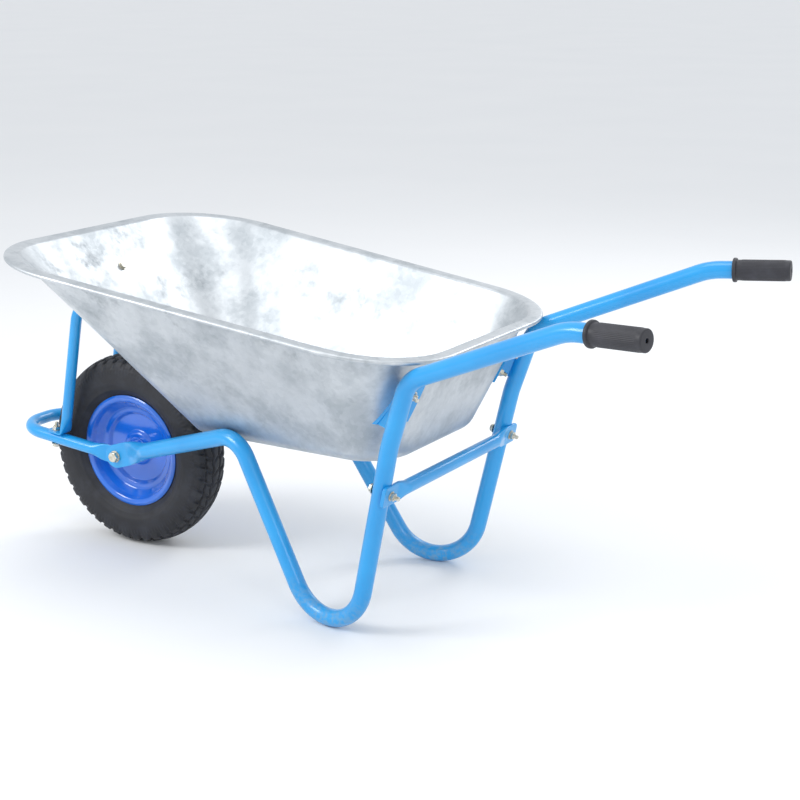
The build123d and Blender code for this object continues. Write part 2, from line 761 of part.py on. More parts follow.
with BuildPart() as axle_sleeve:
    sleeve_half = hub_half - bearing_width
    add_ring(axle_plane(1, -sleeve_half), bearing_bore, spacer_d, 2 * sleeve_half)
save(axle_sleeve, "axle_sleeve")
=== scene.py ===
"""Looks of a single-wheel builder's wheelbarrow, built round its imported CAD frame.

The tray is drawn and galvanised sheet, the frame is bent and squeezed steel tube with a powder
coat, and the wheel is a pair of pressed and enamelled rim halves with a pneumatic tyre. Lengths
in the classes are millimetres, with X as a distance behind the axle, as a maker would dimension
them, and one function turns them into metres in the frame's own axes.
"""

from __future__ import annotations

import json
import logging
import math
from dataclasses import dataclass, field
from enum import Enum
from typing import Any, Iterable, Sequence

import bpy
import numpy as np
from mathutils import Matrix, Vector


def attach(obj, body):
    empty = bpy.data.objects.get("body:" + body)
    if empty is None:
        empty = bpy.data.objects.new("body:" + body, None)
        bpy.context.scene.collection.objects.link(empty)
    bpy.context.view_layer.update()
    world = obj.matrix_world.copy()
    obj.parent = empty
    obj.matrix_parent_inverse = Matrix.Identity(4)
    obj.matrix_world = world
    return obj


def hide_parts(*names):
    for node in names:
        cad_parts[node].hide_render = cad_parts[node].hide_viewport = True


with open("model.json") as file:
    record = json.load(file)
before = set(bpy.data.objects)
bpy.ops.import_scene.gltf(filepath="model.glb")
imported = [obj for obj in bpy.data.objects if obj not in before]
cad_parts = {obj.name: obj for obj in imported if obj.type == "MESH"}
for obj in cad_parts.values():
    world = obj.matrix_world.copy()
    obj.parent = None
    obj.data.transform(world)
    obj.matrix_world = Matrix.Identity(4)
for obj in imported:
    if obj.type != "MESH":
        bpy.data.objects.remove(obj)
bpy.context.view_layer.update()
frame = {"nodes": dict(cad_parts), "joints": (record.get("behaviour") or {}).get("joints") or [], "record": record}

Array = np.ndarray
MM = 0.001
TURN = 2 * math.pi
LEFT, RIGHT = -1, 1
AXLE = np.array(frame["joints"][0]["pos_m"], float)
STAY_BOLT_HEIGHT = 565.0
log = logging.getLogger("wheelbarrow")


class Body(Enum):
    """The two bodies of the frame, by the names they have there."""

    FRAME = "frame"
    WHEEL = "wheel"


# ------------------------------------------------------------------ points, curves and sections
def place(points: Array) -> Array:
    """Turns millimetres behind the axle, across and above the ground into metres in the frame.

    Args:
        points: An array whose last axis is (behind the axle, across, height).

    Returns:
        The same points in metres.
    """
    return np.asarray(points, float) * MM + np.array([AXLE[0], 0.0, 0.0])


def unit(vectors: Array) -> Array:
    """Vectors along the last axis, scaled to length 1."""
    vectors = np.asarray(vectors, float)
    return vectors / np.linalg.norm(vectors, axis=-1, keepdims=True)


def ramp(values: Array, low: float, high: float) -> Array:
    """Smooth step: t = clip((x - low) / (high - low), 0, 1) and then t * t * (3 - 2 t)."""
    t = np.clip((np.asarray(values, float) - low) / (high - low), 0, 1)
    return t * t * (3 - 2 * t)


def rounded_route(corners: Sequence[Sequence[float]], radii: Sequence[float], steps: int = 24) -> Array:
    """Straight runs joined by tangent arcs.

    An arc of radius r at a corner of half angle h has its centre r / sin h along the bisector, and
    its points are the centre plus r times the slerp of the directions to its two ends.

    Args:
        corners: The route's corners, in two or three dimensions.
        radii: One radius for each inner corner.
        steps: Points on each arc.

    Returns:
        The points of the whole route.
    """
    pts = np.asarray(corners, float)
    run = [pts[:1]]
    t = np.linspace(0, 1, steps)[:, None]
    for before, corner, after, radius in zip(pts[:-2], pts[1:-1], pts[2:], radii):
        a, b = unit(before - corner), unit(after - corner)
        half = math.acos(float(np.clip(a @ b, -1, 1))) / 2
        centre = corner + unit(a + b) * radius / math.sin(half)
        start, end = corner + a * radius / math.tan(half), corner + b * radius / math.tan(half)
        sweep = math.pi - 2 * half
        u, v = (start - centre) / radius, (end - centre) / radius
        run.append(centre + radius * (np.sin((1 - t) * sweep) * u + np.sin(t * sweep) * v) / math.sin(sweep))
    run.append(pts[-1:])
    return np.concatenate(run)


def lengths(points: Array) -> Array:
    """Distance along a polyline at each of its points."""
    return np.concatenate([[0.0], np.cumsum(np.linalg.norm(np.diff(points, axis=0), axis=1))])


def at_lengths(points: Array, where: Array) -> Array:
    """Points of a polyline at given distances along it."""
    along = lengths(points)
    return np.stack([np.interp(where, along, points[:, k]) for k in range(points.shape[1])], axis=1)


def stations(total: float, step: float, tips: tuple[float, float] = (0.0, 0.0)) -> Array:
    """Distances along a route, even in the middle and crowding into a rounded tip.

    Args:
        total: The route's length.
        step: Spacing in the middle.
        tips: Radius of the round tip at the start and at the end, or 0.

    Returns:
        The distances in rising order.
    """
    crowd = 1 - np.cos(np.linspace(0.03, math.pi / 2, 12))
    first = tips[0] * crowd if tips[0] else np.zeros(1)
    last = total - tips[1] * crowd[::-1] if tips[1] else np.array([total])
    count = max(2, int((last[0] - first[-1]) / step))
    return np.concatenate([first, np.linspace(first[-1], last[0], count + 1)[1:-1], last])


def three_point_arc(
    start: Sequence[float], middle: Sequence[float], end: Sequence[float], count: int
) -> Array:
    """Points of the circle arc through three points of a plane.

    The centre solves 2 (m - s) . c = m.m - s.s and 2 (e - s) . c = e.e - s.s.

    Args:
        start: First point.
        middle: A point between.
        end: Last point.
        count: Points on the arc.

    Returns:
        An array of count points.
    """
    s, m, e = (np.asarray(p, float) for p in (start, middle, end))
    centre = np.linalg.solve(2 * np.stack([m - s, e - s]), [m @ m - s @ s, e @ e - s @ s])
    angles = np.unwrap([math.atan2(p[1] - centre[1], p[0] - centre[0]) for p in (s, m, e)])
    turned = np.linspace(angles[0], angles[2], count)
    return centre + np.linalg.norm(s - centre) * np.stack([np.cos(turned), np.sin(turned)], axis=1)


def swept(route: Array, facing: Array, deep: Array, wide: Array, power: Array, columns: int = 32) -> Array:
    """A superellipse section carried along a route.

    With T the route's direction, N the facing direction made square to T and B = T x N, a point is
    P + deep * s(cos a) * N + wide * s(sin a) * B, where s(x) = sign(x) |x| ** (2 / power).

    Args:
        route: Points of the route.
        facing: Direction that the section's depth is measured along, one for all or one each.
        deep: Half depth at each point.
        wide: Half width at each point.
        power: 2 is an ellipse, and more is squarer.
        columns: Points round the section.

    Returns:
        A grid of points, (route points, columns, 3).
    """
    tangent = unit(np.gradient(route, lengths(route), axis=0))
    facing = np.broadcast_to(facing, route.shape)
    normal = unit(facing - (facing * tangent).sum(1, keepdims=True) * tangent)
    across = np.cross(tangent, normal)
    a = np.linspace(0, TURN, columns, endpoint=False)[None, :]
    share = 2 / np.asarray(power, float)[:, None]
    cosine = np.sign(np.cos(a)) * np.abs(np.cos(a)) ** share * np.asarray(deep)[:, None]
    sine = np.sign(np.sin(a)) * np.abs(np.sin(a)) ** share * np.asarray(wide)[:, None]
    return route[:, None] + cosine[..., None] * normal[:, None] + sine[..., None] * across[:, None]


def hollowed(rings: Array, wall: float, depth: int) -> Array:
    """Adds an open end to a swept tube: the last ring drawn in by the wall, then a ring deeper inside."""
    def drawn_in(ring: Array) -> Array:
        centre = ring.mean(0)
        radius = np.linalg.norm(ring - centre, axis=1).mean()
        return centre + (ring - centre) * (1 - wall / radius)
    return np.concatenate([rings, drawn_in(rings[-1])[None], drawn_in(rings[-1 - depth])[None]])


@dataclass(frozen=True)
class Spindle:
    """An axis in space, for pieces turned on it. Distances are millimetres.

    Fields:
        origin: A point on the axis, in metres in the frame.
        along: Direction of the axis.
        start: Direction that angle 0 points in.
    """

    origin: Array
    along: Array
    start: Array

    def turned(self, radii: Array, offsets: Array) -> Array:
        """Points at origin + offset * along + radius * (cos a * start + sin a * side).

        Args:
            radii: Radius at each row and column, or one for each row.
            offsets: Distance along the axis, of the same shape.

        Returns:
            A grid of points in metres.
        """
        columns = radii.shape[1]
        along = unit(self.along)
        start = unit(self.start - (self.start @ along) * along)
        side = np.cross(along, start)
        a = np.linspace(0, TURN, columns, endpoint=False)
        spokes = np.cos(a)[:, None] * start + np.sin(a)[:, None] * side
        return self.origin + MM * (offsets[..., None] * along + radii[..., None] * spokes)

    def lathe(self, profile: Array, columns: int) -> Array:
        """A profile of (radius, distance along) turned round the axis."""
        shape = (len(profile), columns)
        radii = np.broadcast_to(profile[:, :1], shape)
        return self.turned(radii, np.broadcast_to(profile[:, 1:], shape))


AXLE_SPINDLE = Spindle(AXLE, np.array([0.0, 1.0, 0.0]), np.array([1.0, 0.0, 0.0]))


class Close(Enum):
    """How a grid of points is closed."""

    ENDS = "columns join, and a flat face closes each end"
    RING = "columns join, and the last row joins the first"
    OPEN = "columns join, and both ends stay open"


class Skin:
    """Collects grids of points and makes one smooth mesh object of them."""

    def __init__(self, name: str) -> None:
        """Starts an empty skin with the name that its object will have."""
        self.name = name
        self.points: list[Array] = []
        self.faces: list[list[int]] = []
        self.count = 0

    def add(self, grid: Array, close: Close = Close.ENDS, outward: bool = True) -> Skin:
        """Adds a grid, turned so that its faces point outwards.

        Six times the signed volume is the sum of a . (b x c) over a quad's two triangles, and a
        negative one says that the faces point inwards.

        Args:
            grid: Points in metres, (rows, columns, 3).
            close: How rows and columns are closed.
            outward: False keeps the faces as the rows and columns give them.

        Returns:
            This skin, so that calls can be chained.
        """
        rows, columns = grid.shape[:2]
        index = np.arange(rows * columns).reshape(rows, columns)
        if close is Close.RING:
            index = np.concatenate([index, index[:1]])
        beside = np.roll(index, -1, axis=1)
        quads = np.stack([index[:-1], beside[:-1], beside[1:], index[1:]], axis=-1).reshape(-1, 4)
        flat = grid.reshape(-1, 3)
        centred = flat - flat.mean(0)
        p, q, r, s = (centred[quads[:, k]] for k in range(4))
        volume = float((p * np.cross(q, r)).sum() + (p * np.cross(r, s)).sum())
        caps = [index[0, ::-1].tolist(), index[-1].tolist()] if close is Close.ENDS else []
        if outward and volume < 0:
            quads = quads[:, ::-1]
            caps = [cap[::-1] for cap in caps]
        self.faces += (quads + self.count).tolist()
        self.faces += [[v + self.count for v in cap] for cap in caps]
        self.points.append(flat)
        self.count += len(flat)
        return self

    def made(self, body: Body, material: bpy.types.Material, slot: str, *stands_for: str,
             sharp: float = 38.0) -> bpy.types.Object:
        """Makes the object, lets it ride on its body and hides what it stands for.

        Args:
            body: The body that it moves with.
            material: Its finish.
            slot: The record's material slot; not used.
            stands_for: CAD nodes that it replaces.
            sharp: Edges that turn by more degrees than this stay sharp.

        Returns:
            The new object.
        """
        mesh = bpy.data.meshes.new(self.name)
        mesh.from_pydata(np.concatenate(self.points).tolist(), [], self.faces)
        mesh.polygons.foreach_set("use_smooth", np.ones(len(mesh.polygons), bool))
        mesh.set_sharp_from_angle(angle=math.radians(sharp))
        mesh.materials.append(material)
        made = bpy.data.objects.new(self.name, mesh)
        bpy.context.scene.collection.objects.link(made)
        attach(made, body.value)
        if stands_for:
            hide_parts(*stands_for)
        log.info("%s: %d faces on body %s", self.name, len(mesh.polygons), body.value)
        return made


# ------------------------------------------------------------------ finishes
Socket = bpy.types.NodeSocket
Inputs = dict[Any, Any] | Sequence[Any]
SMOOTH = {"interpolation_type": "SMOOTHSTEP"}
PLUS, TIMES = {"operation": "ADD"}, {"operation": "MULTIPLY"}
COLOUR = {"output": 2, "data_type": "RGBA"}


def linear(code: str) -> tuple[float, float, float, float]:
    """Turns an sRGB hex colour into linear red, green and blue, with an alpha of 1."""
    parts = [int(code[k : k + 2], 16) / 255 for k in (1, 3, 5)]
    curve = [c / 12.92 if c <= 0.04045 else ((c + 0.055) / 1.055) ** 2.4 for c in parts]
    return (curve[0], curve[1], curve[2], 1.0)


def per_metre(millimetres: float) -> float:
    """Pattern scale for features of that size, on coordinates in metres."""
    return 1000.0 / millimetres


class Coat:
    """A material that is being put together: its tree, its shader and its coordinates."""

    def __init__(self, name: str, **constants: Any) -> None:
        """Starts a material with a Principled shader.

        Args:
            name: The material's name.
            **constants: Shader sockets by name, with _ for a space.
        """
        self.material = bpy.data.materials.new(name)
        self.material.use_nodes = True
        self.tree = self.material.node_tree
        self.shader = self.tree.nodes["Principled BSDF"]
        for key, value in constants.items():
            self.shader.inputs[key.replace("_", " ")].default_value = value
        self.where = self.add("TexCoord", (), "Object")
        self.height = self.add("SeparateXYZ", (self.where,), "Z")

    def add(self, kind: str, inputs: Inputs, output: int | str = 0, **settings: Any) -> Socket:
        """Adds a shader node, sets its fields, fills its sockets and hands on one output.

        Args:
            kind: The node's type name without its ShaderNode prefix.
            inputs: Values, or other nodes' outputs to link, by socket name or in socket order.
            output: Name or number of the output to hand on.
            **settings: Fields of the node itself.

        Returns:
            The output.
        """
        node = self.tree.nodes.new("ShaderNode" + kind)
        for name, value in settings.items():
            setattr(node, name, value)
        for key, value in inputs.items() if isinstance(inputs, dict) else enumerate(inputs):
            if isinstance(value, Socket):
                self.tree.links.new(value, node.inputs[key])
            else:
                node.inputs[key].default_value = value
        return node.outputs[output]

    def uneven(self, size_mm: float, detail: float, rough: float, stretch: Sequence[float] = (1, 1, 1),
               levels: Sequence[float] = ()) -> Socket:
        """Natural unevenness with features of a real size, as a grey from 0 to 1.

        Args:
            size_mm: Size of the largest features.
            detail: How many finer sizes are laid over them.
            rough: How strong each finer size is.
            stretch: How many times longer the features are along each axis.
            levels: Two levels of the grey, and the two values that it fades between there.

        Returns:
            The grey.
        """
        spot = self.add("Mapping", {"Vector": self.where, "Scale": [1 / times for times in stretch]})
        look = {"Vector": spot, "Scale": per_metre(size_mm), "Detail": detail, "Roughness": rough}
        grey = self.add("TexNoise", look, "Fac")
        return self.add("MapRange", (grey, *levels), **SMOOTH) if levels else grey

    def wire(self, **sockets: Socket) -> bpy.types.Material:
        """Links shader sockets by name and returns the material."""
        for key, value in sockets.items():
            self.tree.links.new(value, self.shader.inputs[key.replace("_", " ")])
        return self.material


@dataclass(frozen=True)
class GalvanisedSheet:
    """Hot-dip galvanised and drawn steel sheet.

    The eye sees a soft silver-grey sheen that clouds from hand to hand width, fine upright drag
    lines of the draw and faint zinc crystals. Painted shade darkens the upper walls and the lip in
    patches just under the rim, where the same patches also make the sheet a little rougher.
    """

    bright: str = "#CDD1D4"
    dull: str = "#A2A9AE"
    # Painted shade under the rim: its darker grey, and the heights over which it fades in.
    painted_shade_grey: str = "#7E868C"
    spangle: str = "#F2F4F6"
    crystal_mm: float = 9.0
    drag_mm: float = 1.6
    cloud_mm: float = 85.0
    painted_shade_band: tuple[float, float] = (0.40, 0.58)

    def material(self) -> bpy.types.Material:
        """Builds the material."""
        coat = Coat("galvanised_steel", Metallic=0.86, Specular_IOR_Level=0.5)
        cloud = coat.uneven(self.cloud_mm, 5, 0.6)
        drag = coat.uneven(self.drag_mm, 3, 0.6, (1, 1, 70))
        broad_drag = coat.uneven(self.drag_mm * 7, 2, 0.5, (1, 1, 30))
        patch = coat.uneven(self.cloud_mm * 1.3, 7, 0.7, (1, 1, 1.8), (0.52, 0.72, 0, 1))
        grains = coat.add("TexVoronoi", {"Vector": coat.where, "Scale": per_metre(self.crystal_mm)}, "Color")
        crystal = coat.add("Math", (coat.add("SeparateColor", (grains,)), 0.14), **TIMES)
        lifted = coat.add("Math", (drag, 0.35, 0.5), operation="MULTIPLY_ADD")
        worn = coat.add("Math", (coat.add("MapRange", (lifted, 0.2, 0.9, 0, 1), **SMOOTH), 0.22), **TIMES)
        shade = coat.add("Math", (coat.add("MapRange", (cloud, 0.38, 0.66, 0, 1), **SMOOTH), 0.6), **TIMES)
        streaked = coat.add("Math", (shade, worn), **PLUS)
        base = coat.add("Mix", {0: streaked, 6: linear(self.bright), 7: linear(self.dull)}, **COLOUR)
        # Painted shade: a darker grey towards the top of the walls and over the lip, in patches; the same mask
        # also adds roughness.
        high = coat.add("MapRange", (coat.height, *self.painted_shade_band, 0, 1), **SMOOTH)
        painted_shade_and_dulling = coat.add("Math", (coat.add("Math", (patch, high), **TIMES), 0.75), **TIMES)
        colour = coat.add("Mix", {0: painted_shade_and_dulling, 6: base, 7: linear(self.painted_shade_grey)}, **COLOUR)
        spangled = coat.add("Mix", {0: crystal, 6: colour, 7: linear(self.spangle)}, **COLOUR)
        clouded = coat.add("MapRange", (cloud, 0.3, 0.7, 0.34, 0.47), **SMOOTH)
        rough = coat.add("Math", (clouded, coat.add("Math", (drag, 0.09), **TIMES)), **PLUS)
        rough = coat.add("Math", (rough, coat.add("Math", (painted_shade_and_dulling, 0.16), **TIMES)), **PLUS)
        buckles = coat.uneven(self.cloud_mm * 0.9, 2, 0.4)
        waves = coat.add("Bump", {"Height": buckles, "Distance": 1.1 * MM, "Strength": 0.5})
        scored = coat.add("Math", (drag, broad_drag), **PLUS)
        relief = {"Height": scored, "Distance": 0.05 * MM, "Strength": 0.55, "Normal": waves}
        return coat.wire(Base_Color=spangled, Roughness=rough, Normal=coat.add("Bump", relief))


@dataclass(frozen=True)
class PowderCoat:
    """Gloss powder coat on steel tube.

    The eye sees one even strong colour under a clear gloss with a fine orange peel, road dust low
    down, and a few hair scuffs where it has been handled.
    """

    name: str
    colour: str
    deep: str
    dust: str = "#8FA3AD"
    roughness: float = 0.30
    gloss: float = 0.65
    peel_mm: float = 2.4
    dust_top: float = 0.10

    def material(self) -> bpy.types.Material:
        """Builds the material."""
        coat = Coat(self.name, Metallic=0.0, IOR=1.5, Coat_Weight=self.gloss, Coat_Roughness=0.09)
        tone = coat.uneven(140, 4, 0.5, levels=(0.35, 0.68, 0, 0.55))
        base = coat.add("Mix", {0: tone, 6: linear(self.colour), 7: linear(self.deep)}, **COLOUR)
        scuff = coat.uneven(3.2, 6, 0.75, (1, 1, 5), (0.655, 0.70, 0, 1))
        rare = coat.uneven(60, 3, 0.5, levels=(0.5, 0.62, 0, 1))
        scuffed = coat.add("Math", (coat.add("Math", (scuff, rare), **TIMES), 0.45), **TIMES)
        low = coat.add("MapRange", (coat.height, 0, self.dust_top, 0.45, 0), **SMOOTH)
        settled = coat.uneven(11, 6, 0.7, levels=(0.42, 0.62, 0, 1))
        marks = coat.add("Math", (scuffed, coat.add("Math", (low, settled), **TIMES)), **PLUS)
        colour = coat.add("Mix", {0: marks, 6: base, 7: linear(self.dust)}, **COLOUR)
        rough = coat.add("Math", (coat.add("Math", (marks, 0.35), **TIMES), self.roughness), **PLUS)
        relief = {"Height": coat.uneven(self.peel_mm, 2, 0.45), "Distance": 0.035 * MM, "Strength": 0.6}
        return coat.wire(Base_Color=colour, Roughness=rough, Normal=coat.add("Bump", relief))


@dataclass(frozen=True)
class MouldedRubber:
    """Moulded black rubber or soft vinyl.

    The eye sees a dark matt skin with a faint blue-grey bloom in soft patches, fine mould grain,
    and pale dust that settles where the surface is rough.
    """

    name: str
    colour: str
    bloom: str
    roughness: float
    grain_mm: float
    bloom_share: float = 0.5

    def material(self) -> bpy.types.Material:
        """Builds the material."""
        coat = Coat(self.name, Metallic=0.0, IOR=1.52, Specular_IOR_Level=0.45)
        patch = coat.uneven(38, 5, 0.6, levels=(0.4, 0.7, 0, self.bloom_share))
        speck = coat.uneven(2.2, 4, 0.7, levels=(0.66, 0.76, 0, 0.35))
        bloom = coat.add("Math", (patch, speck), **PLUS)
        colour = coat.add("Mix", {0: bloom, 6: linear(self.colour), 7: linear(self.bloom)}, **COLOUR)
        rough = coat.add("Math", (coat.add("Math", (bloom, 0.2), **TIMES), self.roughness), **PLUS)
        relief = {"Height": coat.uneven(self.grain_mm, 4, 0.7), "Distance": 0.12 * MM, "Strength": 0.5}
        return coat.wire(Base_Color=colour, Roughness=rough, Normal=coat.add("Bump", relief))


@dataclass(frozen=True)
class PlatedSteel:
    """Zinc-plated or ground steel, as on bolts and bearings.

    The eye sees a small bright metal part, a little yellow or grey by patches, with turning marks
    too fine to tell apart that only soften its shine.
    """

    name: str
    colour: str
    stain: str
    roughness: float

    def material(self) -> bpy.types.Material:
        """Builds the material."""
        coat = Coat(self.name, Metallic=1.0)
        patch = coat.uneven(5, 5, 0.6, levels=(0.4, 0.66, 0, 0.8))
        colour = coat.add("Mix", {0: patch, 6: linear(self.colour), 7: linear(self.stain)}, **COLOUR)
        rough = coat.add("Math", (coat.add("Math", (patch, 0.18), **TIMES), self.roughness), **PLUS)
        relief = {"Height": coat.uneven(0.7, 3, 0.6), "Distance": 0.02 * MM, "Strength": 0.5}
        return coat.wire(Base_Color=colour, Roughness=rough, Normal=coat.add("Bump", relief))


@dataclass
class Finishes:
    """Every finish of the wheelbarrow, each built once and kept under its material slot."""

    made: dict[str, bpy.types.Material] = field(default_factory=dict)

    def build(self) -> Finishes:
        """Builds them all and puts them on the CAD nodes that stay in sight."""
        recipes = {
            "galvanised_sheet": GalvanisedSheet(),
            "frame_enamel": PowderCoat("frame_powder_coat", "#1C9DE0", "#148CD0", gloss=0.4),
            "rim_enamel": PowderCoat(
                "rim_enamel", "#0F6BD8", "#0C5FC6", roughness=0.2, gloss=1.0, dust_top=0.04
            ),
            "tyre_rubber": MouldedRubber("tyre_rubber", "#1B1C21", "#3A3C44", 0.55, 1.1),
            "grip_pvc": MouldedRubber("grip_vinyl", "#2B2B31", "#4A4A52", 0.48, 0.8, 0.4),
            "black_rubber": MouldedRubber("butyl_rubber", "#17171A", "#303036", 0.6, 0.9),
            "cap_plastic": MouldedRubber("cap_polythene", "#1C1C20", "#2C2C32", 0.4, 0.6, 0.2),
            "zinc_steel": PlatedSteel("zinc_plate", "#D9D6CC", "#B9B29A", 0.26),
            "bearing_steel": PlatedSteel("ground_bearing_steel", "#C9CBCE", "#A4A7AC", 0.16),
        }
        self.made = {slot: recipe.material() for slot, recipe in recipes.items()}
        for part in frame["record"]["subparts"]:
            node = frame["nodes"][part["node"]]
            node.data.materials.clear()
            node.data.materials.append(self.made[part["material_slot"]])
        return self

    def __getitem__(self, slot: str) -> bpy.types.Material:
        """The finish of a slot."""
        return self.made[slot]


# ------------------------------------------------------------------ squeezed tubes of the frame
@dataclass(frozen=True)
class SqueezedEnd:
    """A tube's end that a press has squeezed flat, with a round tip.

    Fields:
        width: Width of the flat.
        thickness: Thickness of the flat.
        tip_r: Radius of its corners; half the width makes a round tip.
        flat: Length of the flat behind the tip's radius.
        taper: Length over which it opens to the round tube.
        tube: Diameter of the round tube.
    """

    width: float
    thickness: float
    tip_r: float
    flat: float
    taper: float
    tube: float

    def section(self, s: Array) -> tuple[Array, Array, Array]:
        """Half width, half thickness and squareness at distances from the tip.

        The tip's half width is w - r + sqrt(r^2 - (r - s)^2); behind the flat both halves run in a
        straight line to the tube's radius, as a press leaves them.
        """
        inside = np.clip(self.tip_r - s, 0, self.tip_r)
        tip = self.width / 2 - self.tip_r + np.sqrt(np.clip(self.tip_r**2 - inside**2, 1e-3, None))
        opened = np.clip((s - self.tip_r - self.flat) / self.taper, 0, 1)
        wide = tip + (self.tube / 2 - self.width / 2) * opened**1.2
        thin = self.thickness / 2 + (self.tube - self.thickness) / 2 * opened**0.85
        return wide, thin, 2 + 6 * (1 - opened) ** 3


@dataclass
class SideTube:
    """One of the two bent tubes that run from the axle through a leg to a grip."""

    side: int
    spread: float = 11.1
    half_gap: float = 80.0
    start: float = 108.0
    front_bend: tuple[float, float] = (357.0, 312.0)
    leans: tuple[float, float] = (30.5, 12.6)
    kink: tuple[float, float] = (730.0, 362.0)
    upper_bend: tuple[float, float] = (771.0, 486.0)
    handle_bend: tuple[float, float] = (1089.0, 619.0)
    handle_end: tuple[float, float] = (1226.0, 625.8)
    radii: tuple[float, ...] = (60.0, 160.0, 62.0, 130.0)
    plate_y: float = 75.4
    wall: float = 1.6
    end: SqueezedEnd = SqueezedEnd(48.0, 3.6, 24.0, 32.0, 76.0, 32.0)

    def lateral(self, x: float) -> float:
        """Distance of the centre line from the middle plane, on the tube's own side."""
        return self.side * (self.half_gap + math.tan(math.radians(self.spread)) * x)

    def at(self, x: float, z: float) -> Array:
        """The point of the tube's upright plane at a distance behind the axle and a height."""
        return np.array([x, self.lateral(x), z])

    def foot(self) -> tuple[Array, float]:
        """Corner that the leg's two halves meet in, and the bend that rests on the ground.

        The corner lies at height c below the ground. With h half the corner's angle and up the
        height of the unit bisector, the bend's radius is (tube / 2 - c) / (up / sin h - 1).
        """
        front, rear = (math.tan(math.radians(lean)) for lean in self.leans)
        gap = self.front_bend[0] + front * self.front_bend[1] - self.kink[0] + rear * self.kink[1]
        height = gap / (front + rear)
        corner = self.at(self.front_bend[0] + front * (self.front_bend[1] - height), height)
        before, after = unit(self.at(*self.front_bend) - corner), unit(self.at(*self.kink) - corner)
        half = math.acos(float(before @ after)) / 2
        up = unit(before + after)[2]
        return corner, (self.end.tube / 2 - height) / (up / math.sin(half) - 1)

    def route(self) -> Array:
        """Centre line: the flat plate, an S-shaped run to the tube's plane, then the bent tube."""
        corner, foot_r = self.foot()
        hub = AXLE[2] / MM
        slope = math.atan2(self.front_bend[1] - hub, self.front_bend[0])
        ahead = np.array([math.cos(slope), 0, math.sin(slope)])
        plate = np.array([0, self.side * self.plate_y, hub])
        tip, opening = plate - ahead * self.end.tip_r, plate + ahead * (self.end.flat + 1)
        first = self.at(self.start, hub + (self.front_bend[1] - hub) / self.front_bend[0] * self.start)
        corners = [first, self.at(*self.front_bend), corner, self.at(*self.kink)]
        corners += [self.at(*self.upper_bend), self.at(*self.handle_bend), self.at(*self.handle_end)]
        bent = rounded_route(corners, (self.radii[0], foot_r) + self.radii[1:], 40)
        reach = np.linalg.norm(first - opening)
        t = np.linspace(0, 1, 30)[1:-1, None]
        leave, arrive = ahead * reach, unit(corners[1] - first) * reach
        joined = (2 * t**3 - 3 * t**2 + 1) * opening + (t**3 - 2 * t**2 + t) * leave
        joined = joined + (3 * t**2 - 2 * t**3) * first + (t**3 - t**2) * arrive
        return np.concatenate([[tip, opening], joined, bent])

    def build(self, finishes: Finishes) -> None:
        """Sweeps the tube and leaves its handle end open inside the grip."""
        label = "left" if self.side < 0 else "right"
        line = self.route()
        where = stations(lengths(line)[-1], 4.0, (self.end.tip_r, 0.0))
        wide, thin, power = self.end.section(where)
        yaw = math.radians(self.spread)
        plate, tube = np.array([0, -1.0, 0]), np.array([self.side * math.sin(yaw), -math.cos(yaw), 0])
        turn = ramp(where, 40, 140)[:, None]
        rings = swept(at_lengths(line, where), plate * (1 - turn) + tube * turn, thin, wide, power)
        skin = Skin(f"bent_tube_{label}").add(place(hollowed(rings, self.wall, 16)))
        skin.made(Body.FRAME, finishes["frame_enamel"], "frame_enamel", f"side_tube_{label}")


@dataclass
class NoseLoop:
    """The tube that runs round the front of the tyre between the axle's two ends."""

    reach: float = 271.0
    tilt: float = 5.5
    bend_r: float = 60.0
    plate_y: float = 72.0
    end: SqueezedEnd = SqueezedEnd(36.0, 3.2, 18.0, 27.0, 33.0, 25.0)

    def forward(self) -> Array:
        """Direction of the rails, ahead and a little up."""
        return np.array([-math.cos(math.radians(self.tilt)), 0, math.sin(math.radians(self.tilt))])

    def up(self) -> Array:
        """Direction square to the loop's plane."""
        return np.array([math.sin(math.radians(self.tilt)), 0, math.cos(math.radians(self.tilt))])

    def at(self, ahead: float, across: float, above: float = 0.0) -> Array:
        """A point ahead of the axle, across, and above the loop's plane."""
        hub = np.array([0, across, AXLE[2] / MM])
        return hub + ahead * self.forward() + above * self.up()

    def build(self, finishes: Finishes) -> None:
        """Sweeps the loop from one squeezed end to the other."""
        front = (self.reach - self.end.tube / 2) / math.cos(math.radians(self.tilt))
        places = [(-self.end.tip_r, LEFT), (front, LEFT), (front, RIGHT), (-self.end.tip_r, RIGHT)]
        line = rounded_route([self.at(a, side * self.plate_y) for a, side in places], (self.bend_r,) * 2)
        total = lengths(line)[-1]
        where = stations(total, 3.5, (self.end.tip_r,) * 2)
        wide, thin, power = self.end.section(np.minimum(where, total - where))
        rings = swept(at_lengths(line, where), self.up(), wide, thin, power)
        skin = Skin("nose_hoop").add(place(rings))
        skin.made(Body.FRAME, finishes["frame_enamel"], "frame_enamel", "nose_loop")


